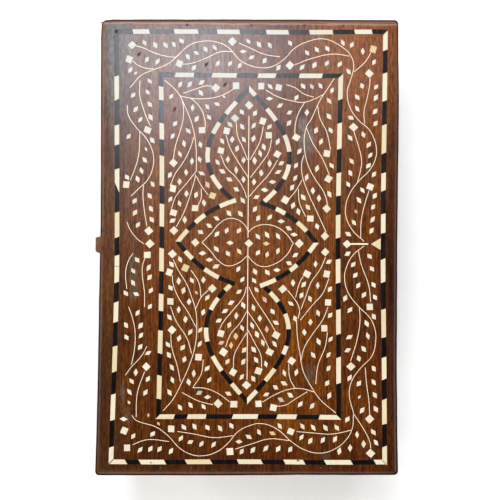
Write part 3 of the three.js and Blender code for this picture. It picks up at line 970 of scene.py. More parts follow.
def half_long_lobe(cusp, reach):
    """Half of a long lobe from cusp to tip: distances along the lobe and across it."""
    along, across = cusp
    wide = LOBE_HALF_WIDTH
    widest = along + 0.4 * (reach - along)
    swell, taper = widest - along, reach - widest
    rising = (along + 0.3 * swell, across + 0.6 * (wide - across)), (along + 0.6 * swell, wide)
    falling = (widest + 0.32 * taper, wide), (widest + 0.6 * taper, 0.63 * wide)
    return bezier(cusp, *rising, (widest, wide)) + bezier((widest, wide), *falling, (reach, 0))[1:]


def half_side_lobe(cusp, reach):
    """Half of a side lobe from a little before its cusp to its tip."""
    across, along = cusp
    span = reach - along
    full = (along + 0.32 * span, 0.86 * across), (along + 0.66 * span, 0.62 * across)
    points = bezier((along, across), *full, (reach, 0))
    start = points[0] - (points[1] - points[0]).normalized() * LOBE_RUN_IN
    return [start] + points[1:]


def lobe_line(side):
    """A lobe's centre line on the lid, from its first cusp by the tip to the other cusp."""
    if side in ("left", "right"):
        sign = -1 if side == "left" else 1
        halves = [half_long_lobe(CUSPS[side, end], REACH[side]) for end in ("front", "back")]
        first = [(MEDALLION[0] + sign * p[0], MEDALLION[1] - p[1]) for p in halves[0]]
        second = [(MEDALLION[0] + sign * p[0], MEDALLION[1] + p[1]) for p in halves[1]]
    else:
        sign = -1 if side == "front" else 1
        halves = [half_side_lobe(CUSPS[end, side], REACH[side]) for end in ("left", "right")]
        first = [(MEDALLION[0] - p[1], MEDALLION[1] + sign * p[0]) for p in halves[0]]
        second = [(MEDALLION[0] + p[1], MEDALLION[1] + sign * p[0]) for p in halves[1]]
    return [Vector(p) for p in first + second[-2::-1]]


def curved_string(line, width):
    """How far along the line each point lies, and the line's two sides, mitred at its corners."""
    marks, sides = [0.0], []
    for before, after in zip(line, line[1:]):
        marks.append(marks[-1] + (after - before).length)
    for i, point in enumerate(line):
        into = (line[max(i, 1)] - line[max(i, 1) - 1]).normalized()
        out = (line[min(i + 1, len(line) - 1)] - line[min(i, len(line) - 2)]).normalized()
        normal = Vector((-into.y, into.x))
        across = Vector((-(into + out).y, (into + out).x)).normalized()
        across = across * (width / 2 / max(0.3, across.dot(normal)))
        sides.append((point - across, point + across))
    return marks, sides


def along_curve(marks, sides):
    """A place function for tiles, from the distance along a curved string and its share across."""
    def place(along, across):
        along = along / MM
        i = max(0, min(len(marks) - 2, sum(1 for mark in marks if mark <= along) - 1))
        share = (along - marks[i]) / (marks[i + 1] - marks[i])
        near = sides[i][0].lerp(sides[i + 1][0], share)
        far = sides[i][1].lerp(sides[i + 1][1], share)
        return near.lerp(far, across + 0.5) * MM
    return place


def nearest_mark(line, marks, point):
    distances = [(Vector(point) - p).length for p in line]
    return marks[distances.index(min(distances))]


LOBE_JOINTS = {
    "left": (
        "EBEBEBEBE" "BEBEBEBEB",
        ((114.7, 80.5), (105.5, 75.5), (95.9, 72), (86, 72), (76.3, 75), (68.7, 79.5), (63, 84.5),
         (54.5, 91.8), (46.8, 100), (50.2, 103.6), (60.5, 112), (68.4, 118.2), (78.6, 124.5), (88.6, 128),
         (97.8, 127.5), (107.8, 125), (116.6, 118.5)),
    ),
    "front": (
        "BEBEBE" "EBEBE",
        ((127, 80.5), (131.5, 70.5), (137, 64.3), (141, 58.2), (149.2, 53.5), (150.5, 53), (155.5, 56.5),
         (161.8, 63), (169.2, 70.3), (175, 80)),
    ),
    "back": (
        "EBEBE" "BEBEB",
        ((129, 117.9), (132, 124.4), (136.5, 132), (143, 138.6), (150.5, 145.7), (158.3, 140.5),
         (166, 134), (171, 128), (176, 119)),
    ),
    "right": (
        "BEBEBEBEBE" "BEBEBEBEBE",
        ((182, 83.5), (187.5, 80), (195.7, 75), (207.4, 72.5), (216.9, 73), (227.4, 76), (236.3, 82),
         (245.3, 90), (252.4, 95.2), (256.5, 100), (249.9, 106), (242.9, 112), (234.7, 118), (226, 123.5),
         (219.3, 126.3), (208.6, 127), (198.8, 124.5), (191, 120), (184, 115)),
    ),
}
long_tile = make_tile("lobe_tile", 6)
tiles = {"B": [], "E": []}
for side, (kinds, points) in LOBE_JOINTS.items():
    line = lobe_line(side)
    marks, sides = curved_string(line, LOBE_STRING)
    trim = LONG_LOBE_TRIM if side in ("left", "right") else 0.0
    stops = [trim] + [nearest_mark(line, marks, as_laid(*p)) for p in points] + [marks[-1] - trim]
    cuts = [(stop * MM, stop * MM) for stop in stops]
    lay_string(tiles, long_tile, along_curve(marks, sides), cuts, kinds)
settle_tiles(tiles, "medallion", lid_panel, [f"medallion_string_{side}" for side in LOBE_JOINTS])


# The vines on the lid: stems of flat wire hammered on edge into fine sawn grooves, leaves cut as small
# bone lozenges, and a square bone bud at the end of each branch, all let in by eye and rubbed flush.
STEM_WIRE = 0.38
STEM_DEEP = 0.0009
LEAF = (5.3, 3.1)
LEAF_FULL = 0.73
SMALL_LEAF = 0.62
LEAF_LENGTHS, LEAF_WIDTHS = (0.92, 1.1), (0.9, 1.1)
LEAF_TURN, LEAF_SKEW = 5, 0.18
BUD = 4.4
BUD_SIZES = (0.94, 1.08)
BUD_TURN, BUD_SKEW = 4, 0.06
CHIP_EASE = 0.035
CHIP_RIM_DROP = 0.08
CHIP_TONES = (1.05, 1.35)
CHIP_DEEP = 0.001
CHIP_PROUD = 0.00005
STEM_PROUD = 0.00003
CROSSING = 0.000008


def make_wire():
    """Dulled white metal, hammered into its groove and rubbed down with the wood."""
    material, tree, shader = new_surface("white_metal_wire", Metallic=0.15)
    place = object_place(tree)
    dull = noise(tree, place, (300, 300, 300), 3.0)
    colour = blend(tree, dull, (0.78, 0.62, 0.43, 1), (0.9, 0.79, 0.6, 1))
    finish_surface(tree, shader, colour, spread(tree, dull, 0.3, 0.7, 0.4, 0.55), dull, 0.00002)
    return material


wire = make_wire()


def add_round(sides, radius, depth, middle):
    """An upright round or many-sided block."""
    deselect()
    bpy.ops.mesh.primitive_cylinder_add(vertices=sides, radius=radius, depth=depth, location=middle)
    bpy.ops.object.transform_apply(location=True)
    return bpy.context.object


def ease_top(blank):
    """Leaves the top face a little narrower than the blank, and its rim a little lower."""
    edit_where(blank, "polygons", lambda face: face.normal.z > 0.9, bpy.ops.mesh.inset, thickness=CHIP_EASE)
    top = [face for face in blank.data.polygons if face.select][0]
    for i, vertex in enumerate(blank.data.vertices):
        if vertex.co.z > -0.01 and i not in top.vertices:
            vertex.co.z = -CHIP_RIM_DROP
    return blank


def make_leaf():
    """A bone lozenge, a unit long and wide, its sides a little full and its top edge eased."""
    leaf = add_round(8, 0.5, 1, (0, 0, -0.5))
    leaf.name = "leaf"
    for vertex in leaf.data.vertices:
        if abs(vertex.co.x) > 0.1 and abs(vertex.co.y) > 0.1:
            vertex.co.x *= LEAF_FULL
            vertex.co.y *= LEAF_FULL
    return ease_top(leaf)


def make_bud():
    """A square bone bud, a unit long and wide, its top edge eased."""
    return ease_top(add_block("bud", (0, 0, -0.5), (1, 1, 1)))


leaf_blank = make_leaf()
bud_blank = make_bud()


PINK, YELLOW, GREY = 2, 3, 4
ODD_TONES = {
    (15.4, 28.8): GREY, (19.7, 183): YELLOW, (271.2, 41.2): PINK, (277.4, 117): YELLOW, (265.6, 34.4): PINK,
    (129.5, 171.8): GREY, (118.9, 75.7): YELLOW, (111.6, 72.2): PINK, (45.1, 141.8): GREY,
    (167.5, 58): YELLOW, (184, 65.5): PINK, (250.7, 68.1): GREY, (255.2, 122.5): GREY,
    (66.6, 90.3): GREY, (70.9, 86.9): GREY, (151.1, 111.9): YELLOW, (188.6, 111.2): PINK,
    (217.4, 82.5): PINK, (208.4, 112.7): PINK, (213.1, 92.1): YELLOW, (219.1, 89): YELLOW,
}


def lay_chip(blank, middle, length, width, angle, skew=0.0, tone=None):
    """Lays a leaf or bud in its place; angle 0 lies across the lid and 90 along it."""
    chip = own_copy(blank, tone or random.uniform(*CHIP_TONES))
    turn = math.radians(90 - angle)
    long_way = Vector((math.cos(turn), math.sin(turn)))
    wide_way = Vector((-math.sin(turn), math.cos(turn))) + long_way * skew
    for vertex in chip.data.vertices:
        flat = Vector(middle) + long_way * (vertex.co.x * length) + wide_way * (vertex.co.y * width)
        vertex.co = (flat.x * MM, flat.y * MM, vertex.co.z * CHIP_DEEP + CHIP_PROUD)
    return chip


def lay_leaf(middle, angle, size=1.0, tone=None):
    return lay_chip(
        leaf_blank,
        middle,
        LEAF[0] * size * random.uniform(*LEAF_LENGTHS),
        LEAF[1] * size * random.uniform(*LEAF_WIDTHS),
        angle + random.uniform(-LEAF_TURN, LEAF_TURN),
        random.uniform(-LEAF_SKEW, LEAF_SKEW),
        tone,
    )


def lay_bud(middle, angle, tone=None):
    return lay_chip(
        bud_blank,
        middle,
        BUD * random.uniform(*BUD_SIZES),
        BUD * random.uniform(*BUD_SIZES),
        angle + random.uniform(-BUD_TURN, BUD_TURN),
        random.uniform(-BUD_SKEW, BUD_SKEW),
        tone,
    )


def lay_stems(stems, name, panel, width=STEM_WIRE, nodes=()):
    """Wires through the points that the stems pass, as thin ribbons standing in the wood."""
    line = bpy.data.curves.new(name, "CURVE")
    line.dimensions = "2D"
    line.fill_mode = "NONE"
    line.extrude = STEM_DEEP / 2
    line.resolution_u = 5
    for stem in stems:
        spline = line.splines.new("BEZIER")
        spline.bezier_points.add(len(stem) - 1)
        for knot, (x, y) in zip(spline.bezier_points, stem):
            knot.co = (x * MM, y * MM, 0)
            knot.handle_left_type = "AUTO"
            knot.handle_right_type = "AUTO"
    ribbon = bpy.data.objects.new(name, line)
    bpy.context.scene.collection.objects.link(ribbon)
    select_only(ribbon)
    bpy.ops.object.convert(target="MESH")
    ribbon = bpy.context.object
    laid = 0
    for i, stem in enumerate(stems):
        count = 2 * ((len(stem) - 1) * line.resolution_u + 1)
        for vertex in ribbon.data.vertices[laid:laid + count]:
            vertex.co.z += i % 4 * CROSSING
        laid += count
    bpy.ops.object.modifier_add(type="SOLIDIFY")
    solid = ribbon.modifiers[-1]
    solid.thickness = width * MM
    solid.offset = 0
    bpy.ops.object.modifier_apply(modifier=solid.name)
    ribbon = bpy.context.object
    ribbon.data.transform(panel @ Matrix.Translation((0, 0, STEM_PROUD - STEM_DEEP / 2)))
    wear_material(ribbon, wire)
    face_outwards()
    smooth_by_angle(40)
    settle(ribbon, "wire", *nodes)


def lay_vine(name, stems, buds, leaves, panel=lid_panel, small=(), laid=as_laid):
    """A region's stems, buds by how far they are turned, and leaves by the way they point."""
    lay_stems([[laid(*point) for point in stem] for stem in stems], f"{name}_stems", panel)
    chips = []
    for angle, places in buds.items():
        chips += [lay_bud(laid(*place), angle, ODD_TONES.get(place)) for place in places]
    for angle, places in leaves.items():
        chips += [lay_leaf(laid(*place), angle, 1.0, ODD_TONES.get(place)) for place in places]
    chips += [lay_leaf(laid(*place[:2]), place[2], SMALL_LEAF, ODD_TONES.get(place[:2])) for place in small]
    settle(join_pieces(chips, f"{name}_leaves", panel, bone), "bone")


lay_vine(
    "left_border",
    stems=(
        ((45.9, 19.4), (43.4, 21.6), (39.3, 24.8), (36.8, 27.9), (34.6, 32.9), (29.6, 44.8), (24, 51.4),
         (17.2, 58.8), (14.6, 66), (14.9, 77.7), (18.6, 85.4), (27, 93.1), (30.8, 100.1), (32.3, 107),
         (31.8, 114.1), (26.6, 122.9), (18.9, 130.2), (14.2, 139.7), (12.7, 150), (17.1, 160.3),
         (23, 167.2), (29.9, 169.9), (38.4, 168.6)),
        ((17.5, 23.1), (18.9, 28), (22.1, 35), (24.8, 44.8), (25.2, 50)),
        ((27.7, 21), (30.8, 24.8), (33, 31.5), (33.1, 35)),
        ((30, 54.6), (29.6, 59.5), (26, 70), (21.4, 80.5), (21.4, 88.2)),
        ((15.5, 92.5), (18.6, 99.4), (23.2, 109.7), (24.9, 120.3)),
        ((30.3, 130.2), (25.9, 141.9), (23, 156.6), (24.4, 166.9)),
        ((35.1, 170.2), (29.6, 176.4), (25.9, 179.3), (22, 181.4)),
    ),
    buds={
        45: [(17, 20.5), (14.5, 88), (30.7, 126.9)],
        20: [(26.7, 18.6), (29.5, 52.4), (19.7, 183)],
    },
    leaves={
        55: [(15.4, 28.8), (16.9, 36), (17, 43), (16.5, 48.6), (14.2, 53.8), (24.9, 58.1), (19.8, 70),
             (18.7, 76.2), (14.4, 98.8), (16.5, 106), (17.1, 113.3), (15.6, 127), (22.2, 138.5), (20, 145),
             (19.3, 152.1), (34.9, 166.5)],
        30: [(22.3, 63.8)],
        125: [(26.8, 30.6), (28.2, 37.7), (33.8, 19.5), (32.4, 62.3), (29.5, 78.3), (29.5, 86.6),
              (30.9, 93.1), (27.5, 109.9), (32.3, 119.3), (28.5, 183.5), (32, 135.2), (30.5, 143.5),
              (29.3, 151.8), (29.9, 160.5)],
        150: [(25.3, 101.1)],
        0: [(21.3, 95.3)],
        70: [(15.3, 162.5)],
        110: [(16.7, 168.6)],
        90: [(21.1, 176)],
    },
    small=((36, 23.1, 125),),
)

lay_vine(
    "right_border",
    stems=(
        ((265.6, 23.5), (268.5, 25.6), (270.5, 30.1), (273.2, 39.2), (279.1, 47.6), (287.2, 55.3),
         (291.4, 63), (292.4, 70), (289.9, 79.8), (284.7, 86.8), (276, 94.5), (271.8, 103.5),
         (270.9, 108.9), (274.1, 119.2), (283.3, 130.2), (288.5, 139), (290.4, 149.3), (287.5, 158.8),
         (282.2, 165.4), (274.8, 169.8), (264.5, 170.8)),
        ((285.1, 24.2), (282.1, 32.2), (281.7, 37.1), (283, 48.3)),
        ((276.3, 53.9), (278, 65.1), (280.3, 78), (279, 91)),
        ((287.9, 92.5), (284, 104.5), (281.1, 114.8), (282.2, 128.7)),
        ((276.2, 133.1), (277.2, 144.9), (277.8, 156.6), (275.1, 169.8)),
        ((264.7, 171.1), (274.5, 177.5), (283, 181.7), (287.3, 182.3)),
    ),
    buds={
        20: [(275.9, 18.5), (276.2, 129.2)],
        0: [(287.2, 20.5), (274.6, 49.7), (289.5, 88.9)],
        45: [(290.5, 182.2)],
    },
    leaves={
        0: [(268.2, 18), (283, 94.8)],
        125: [(279.5, 24.5), (278, 37.4), (288.5, 29.2), (287.9, 36), (288, 42.1), (289.3, 49.7),
              (280.9, 56.2), (284.5, 69.9), (284.9, 78), (289.5, 96.7), (288.5, 104.1), (287.4, 112.7),
              (287.7, 120.9), (288, 128.9), (268.1, 166.7), (280, 136.3), (282.4, 142.2), (281.8, 150.5),
              (281.2, 158.6)],
        55: [(273.5, 58.1), (273.1, 65.2), (273.7, 73.8), (274.2, 82.2), (272.5, 89.7), (276.7, 108.1),
             (272.6, 121.8), (272.8, 136.9), (273.6, 144.1), (273.7, 152.2), (273.6, 159.7), (276.5, 184),
             (283.4, 185.8)],
        150: [(283.3, 62.5)],
        30: [(279.8, 101.3), (277.4, 117)],
        110: [(289.1, 161.5)],
        90: [(287, 168.6), (278.2, 173.2), (284.4, 177.6)],
    },
    small=((271.2, 41.2, 55),),
)

lay_vine(
    "front_border",
    stems=(
        ((41.2, 26), (46.5, 25.9), (50.9, 26), (60.9, 28.8), (65.9, 30.7), (72.1, 33.5)),
        ((57.8, 17.9), (61.5, 17.8), (65.3, 18.8), (73.1, 24.1), (80.6, 31), (89, 35.1), (93.4, 35.9),
         (98.4, 35.7), (107.8, 32.3), (114.9, 25.4), (119.3, 21)),
        ((75.9, 26.3), (81.5, 26.4), (93.4, 25.5), (102.8, 22.6), (108.7, 20.4)),
        ((112.1, 29.4), (116.5, 29), (127.1, 29.8), (139.5, 31.9)),
        ((136.7, 18.6), (140.8, 20.1), (147.9, 25.4), (151.4, 30.1)),
        ((161.1, 30.9), (164.5, 29.6), (169.5, 29.1), (180.1, 30.3), (184.5, 30.9), (193.6, 31)),
        ((157.9, 22.8), (161.4, 20.4), (165.8, 18.8), (170.8, 18), (181.7, 19)),
        ((193.6, 20.4), (202.6, 23.5), (210, 24.8), (220, 24.8), (231.9, 22.8)),
        ((219.7, 33), (226.6, 29.1), (234.1, 22.3), (239.1, 18.8)),
        ((236.6, 31.6), (246.9, 27.9), (253.1, 26.6), (266.9, 26.3)),
    ),
    buds={
        20: [(74.6, 31.6)],
        0: [(111.5, 17.7), (158.8, 32.4)],
        45: [(142.6, 33.2), (151.3, 34), (233.4, 32.6)],
    },
    leaves={
        55: [(41.5, 32.6), (49, 31.3), (57.3, 32.9), (66, 33.5), (81.6, 34.8), (106.6, 18.2), (94.9, 29.9),
             (111.2, 35.4), (119.1, 33.5), (127.8, 34.5), (135.1, 35.1), (162.1, 25.6), (169.5, 23.1),
             (177.5, 23.1), (184.5, 18.4), (205.8, 18.8), (213.9, 19.2), (243.1, 23), (250.2, 21.6)],
        125: [(51, 21.6), (60.6, 23.4), (67.6, 26.6), (79, 18.9), (122.5, 23.5), (130.4, 23.8),
              (138.6, 25.9), (167.3, 33.4), (173.8, 34.1), (182.6, 35.1), (193.3, 34.6), (197.6, 26.4),
              (206.1, 28.5), (212.6, 28.8), (220.3, 28.4), (241.6, 33.8), (250.6, 32.3)],
        70: [(102.1, 27.8), (107.8, 25.3)],
        30: [(185, 25.3)],
        150: [(224.3, 33.8)],
        90: [(237.2, 25.7)],
    },
    small=((87.6, 30.7, 60), (257.2, 21.4, 55), (265.6, 34.4, 90)),
)

lay_vine(
    "back_border",
    stems=(
        ((38.4, 168.6), (42.8, 167.1), (46.5, 165.9), (50.9, 165.6), (60.3, 168), (68.1, 173.6),
         (74.3, 180.5), (82.8, 184.6), (87.1, 185.4), (92.1, 185.2), (100.9, 181.4), (109, 173.6),
         (117.8, 167.4), (127, 164.8), (132.6, 165.1), (141.4, 169.1), (149.5, 177.3)),
        ((152.5, 177.4), (158.9, 169.8), (167.6, 165.4), (173.3, 164.4), (183.3, 166.6), (193.3, 174.1),
         (200.8, 181.6), (209.5, 185.1), (215, 185.4), (225.6, 183.1), (234.1, 175.3), (243.1, 169.3),
         (251, 167.9), (264.4, 170.9)),
        ((39.6, 181), (45.3, 180.5), (55.9, 178.3), (62, 176.9), (70.3, 177.5)),
        ((75.6, 170.2), (85.3, 173.3), (94.6, 175.4), (102, 174.7), (109.6, 172.7)),
        ((115.3, 180.6), (123.4, 178), (135.8, 175.4), (147.6, 175.1)),
        ((156.1, 173.6), (164.5, 175.4), (179.5, 180.7), (190.1, 181.9)),
        ((193.6, 174.4), (203.3, 174.8), (215, 173), (229.4, 168.7)),
        ((233.8, 178.5), (243.8, 179.3), (256.3, 181), (265, 181.5)),
    ),
    buds={
        45: [(36.2, 180.4), (72.6, 170), (151.3, 166), (233, 168.9), (267.8, 181.5)],
        20: [(112.8, 181.3)],
        0: [(193.3, 181.3)],
    },
    leaves={
        70: [(44.6, 175.6), (77.6, 176.6), (204.4, 179.3), (212.7, 180.1), (227.7, 174.2)],
        125: [(45.3, 185), (52.6, 184.9), (61.9, 184.4), (70.1, 184.7), (84.5, 180.2), (91.6, 181.3),
              (98.6, 180.1), (104.4, 183.8), (118.9, 184.4), (126.4, 183.3), (134.8, 183), (142.3, 182.3),
              (165, 170.2), (172.2, 171.6), (179, 173.6), (185.3, 177.4), (195.4, 168.1), (240.6, 168.1),
              (244.3, 174.3), (262.1, 176.5)],
        55: [(52.3, 172.4), (60.1, 172.4), (79.8, 167.7), (95.6, 168.8), (103.6, 168), (111.2, 166.6),
             (115.1, 176.1), (121.8, 173.8), (136.9, 170.5), (159.5, 181.1), (167.9, 182.7),
             (178.6, 183.8), (186.9, 184.8), (199.8, 184.1), (221.4, 177.4), (234.4, 184.1),
             (243.4, 184.1), (252, 184.9), (261.3, 185.6)],
        30: [(66.2, 168.2), (144.6, 166.8)],
        150: [(157.8, 166.4), (213.5, 167.8), (222.2, 166.7)],
        110: [(187.6, 164.9)],
    },
    small=((129.5, 171.8, 60), (253.3, 174.6, 125)),
)

lay_vine(
    "left_front_corner",
    stems=(
        ((40.8, 42.7), (47.2, 49.9), (51.5, 53.1), (54.9, 54.7), (64.8, 55.6), (74.9, 53.6),
         (85.6, 50.4), (93.9, 49.1)),
        ((51.5, 53.1), (53.1, 61.3), (53.3, 71), (51.2, 81.1), (46.7, 89.3)),
        ((49.8, 55.2), (46.7, 64), (44.8, 70), (44.8, 74.7)),
        ((53, 60.5), (58.4, 66.1), (65.9, 69.6), (72.8, 70.5)),
        ((54.9, 54.9), (62.7, 58.4), (72.3, 61.9), (86.7, 64.3), (102.4, 64.6)),
        ((79.2, 62.7), (86.7, 60.5), (96.8, 55.5), (104.3, 50.4), (112.3, 47.2)),
        ((102.4, 64.6), (110.7, 58.1), (119.8, 50.9), (127.6, 48.3)),
        ((104.8, 64.3), (113.6, 62.1), (131.5, 56), (139.9, 51.5)),
        ((105.9, 64.8), (113, 68.6), (118.4, 72.8)),
        ((114.2, 68), (120.9, 68), (125.4, 66)),
    ),
    buds={
        0: [(44.6, 90.8), (74.7, 68.2), (127.3, 64.1)],
        40: [(46, 77.1)],
        45: [(96.8, 49.2), (142.4, 50)],
        15: [(114.1, 49.1), (130.4, 49.6), (118.9, 75.7)],
    },
    leaves={
        125: [(43.7, 53.2), (43.6, 59.6), (51.9, 47.2), (67.1, 64.5), (70.3, 50), (78.7, 48.5),
              (105, 46.9), (121.4, 47.4)],
        150: [(42.4, 67.6), (135.7, 49.1)],
        55: [(49.5, 67.2), (58.9, 71.6), (66, 72.8), (75.2, 58.9), (111.6, 72.2)],
        90: [(59.5, 61.6), (95.7, 61.6), (103.2, 57.8), (109.5, 53.5), (117.6, 58.2), (123.8, 70),
             (135.2, 57.2)],
        30: [(57, 78.1), (103.9, 68.3)],
        70: [(83.8, 56.2), (90.9, 53.5), (84.5, 67.2), (94.5, 66.8), (124.2, 53.6)],
        110: [(118.4, 64.6)],
    },
    small=((52, 82.7, 30),),
)

lay_vine(
    "left_back_corner",
    stems=(
        ((39.3, 157), (46.7, 152.3), (54.1, 147.5), (62.1, 143.8), (66.9, 141.7), (71.7, 138.7),
         (78, 137.1), (85.6, 137), (95.7, 138.7), (105.9, 143.3), (117, 150.5), (124.8, 152.9)),
        ((50.4, 149.7), (53.9, 142.7), (55.8, 136.3), (54.9, 128.9), (51.7, 118.2), (47.5, 111)),
        ((43.7, 124.3), (45.9, 130.5), (50, 136.3), (52.3, 143.3)),
        ((56, 136.9), (62.7, 133.1), (70.1, 131), (76.8, 130.4)),
        ((57.9, 145.7), (66.4, 147.3), (75.5, 151.8), (87.7, 154.6)),
        ((72.8, 138.2), (83.5, 142.7), (93.6, 149.1), (104.8, 153.9)),
        ((91.7, 136.6), (97, 135.3), (105.3, 135.8), (115.8, 139.3), (130.4, 146), (143.3, 151.9)),
        ((108.3, 135.6), (116.4, 130.9), (120.9, 127)),
        ((114.2, 133.2), (123.7, 134), (132.9, 138.2)),
    ),
    buds={
        0: [(44.8, 107.8), (134.2, 141.3)],
        12: [(45.7, 119.5), (90.4, 152.2)],
        30: [(79.5, 131.5), (107.5, 153.3), (121.7, 124.5)],
        45: [(127.5, 152.2), (146, 151.1)],
    },
    leaves={
        55: [(45.1, 113.8), (44.8, 135.9), (45.1, 141.8), (44.6, 147.6), (54.8, 153.5), (65.3, 153.4),
             (74.7, 154.6), (98.6, 155.4), (117.8, 154), (120, 136.5), (126.6, 139.6)],
        110: [(47.7, 155.4), (74.8, 144.8), (82.4, 148.2), (100.5, 145.6), (106.5, 138.7),
              (125.4, 129.7)],
        0: [(53.3, 113.4)],
        125: [(52.6, 131.5), (69.8, 126.6), (88.9, 133.7), (98.5, 131.5), (107, 131), (113.3, 129)],
        150: [(58, 120.5), (62.7, 126.9)],
        90: [(62.7, 138.6), (115.5, 142.9), (120.6, 147)],
        70: [(129.6, 133.3), (139.5, 145.9)],
    },
)

lay_vine(
    "right_front_corner",
    stems=(
        ((262.6, 44.2), (255.2, 50.5), (244.7, 56), (230.3, 62.1), (218.1, 65.3), (207, 66),
         (196, 65.2), (187, 62.4), (178, 58.8), (167.9, 52.6), (161.8, 49.8)),
        ((207, 65.5), (196, 59.4), (188.1, 54), (176.9, 49.6), (172.4, 49.5)),
        ((187, 68.7), (176.9, 66.9), (169, 61.8)),
        ((194.6, 65.2), (187, 68.8), (182.2, 73.6)),
        ((224.7, 62.8), (214.2, 59.4), (203.2, 52.2), (193.2, 48.3)),
        ((243.3, 55.5), (231.9, 53), (220.3, 49.4), (211.5, 48.7)),
        ((247.2, 63.8), (238, 69.3), (228.6, 70.6)),
        ((247.3, 63.8), (247.7, 72.1), (251.3, 81), (256.7, 88.4)),
        ((250.5, 56.6), (256.3, 68.2), (258.6, 77.4)),
    ),
    buds={
        45: [(158.1, 49.2), (181.2, 76.1), (208.9, 49.5), (257.8, 80.7)],
        20: [(170.4, 47.3), (167.5, 58)],
        0: [(189.9, 48.2), (227, 67.4), (258.2, 91.2)],
    },
    leaves={
        70: [(161.8, 54.4), (242.2, 50.1), (243.6, 61)],
        55: [(165.1, 48.7), (175.8, 62.4), (180.8, 48.2), (200.5, 47.7), (218.7, 46.9), (225.6, 47.6),
             (233.9, 49.7), (250.5, 48.3), (260.4, 55.4), (258.9, 62.4), (259.9, 71.1)],
        90: [(176.3, 53.6), (175.5, 70.1), (190.1, 60.7), (195.4, 53.8), (201.9, 58.4), (237.9, 64.3)],
        110: [(182.6, 56.9), (197.1, 70.2), (214.5, 54.3), (228.5, 58)],
        125: [(187.3, 72.9), (210.3, 61.7), (208.9, 68.4), (218.2, 68.1), (220.6, 56.8), (234.5, 73.2),
              (242.2, 74.7)],
        150: [(250.7, 68.1)],
        0: [(253.5, 73.6)],
        30: [(251.2, 87.5)],
    },
    small=((184, 65.5, 55),),
)

lay_vine(
    "right_back_corner",
    stems=(
        ((263.8, 159), (255.2, 148.8), (245.8, 142.2), (235.3, 136.9), (224.7, 135), (213.7, 133.2),
         (202, 132.5)),
        ((229.7, 135.5), (220.9, 137.7), (211.5, 143.3), (202, 149.9), (193.5, 153.5)),
        ((244.7, 145.5), (231.9, 147.1), (220.3, 151.6), (210.4, 153.2)),
        ((249.9, 144.4), (247.7, 135.5), (248.5, 126.7), (251.9, 118.4), (256.7, 110.1)),
        ((247.4, 131.7), (240.8, 128.3), (231.4, 127.5)),
        ((249.8, 140), (254.6, 132.2), (258.9, 125), (259.5, 120)),
        ((201.2, 133.6), (194.9, 134.4), (185.6, 129.2), (182.2, 126.2)),
        ((194.9, 135.5), (185.8, 138.8), (176.9, 142.1), (167.9, 148.3), (160.1, 151.6)),
        ((202.3, 135), (191.7, 143.5), (184.7, 149.7), (174.6, 153.9)),
        ((187, 131.8), (176.3, 134.8), (173, 136.8)),
    ),
    buds={
        0: [(190.4, 153.5), (207.6, 151.1), (257.9, 107.6)],
        30: [(229.4, 129.5), (171.4, 139.3)],
        12: [(260.4, 117.5), (171.4, 152.5)],
        45: [(181.5, 123.2), (156.7, 151.4)],
    },
    leaves={
        90: [(164.8, 145), (177.4, 130), (179.1, 146.5), (203.6, 141.8), (210.3, 137.8)],
        150: [(163.2, 153.9), (251.7, 112.7)],
        125: [(178.4, 137.2), (181.5, 154.7), (185.7, 135.7), (199, 154.9), (214.9, 155.3), (225.3, 154),
              (234.3, 154), (244.1, 153.2), (258.1, 135.4), (259.2, 143.3)],
        70: [(188, 141.4), (201.2, 131.5), (197.5, 146.9), (216.5, 147.3), (237.5, 124.6)],
        30: [(191.2, 128.6), (244.3, 124.5), (247, 118.9), (252.1, 128.7), (255.2, 122.5)],
        55: [(225.5, 143.8)],
        110: [(237, 132.6), (252.4, 154.6)],
    },
)

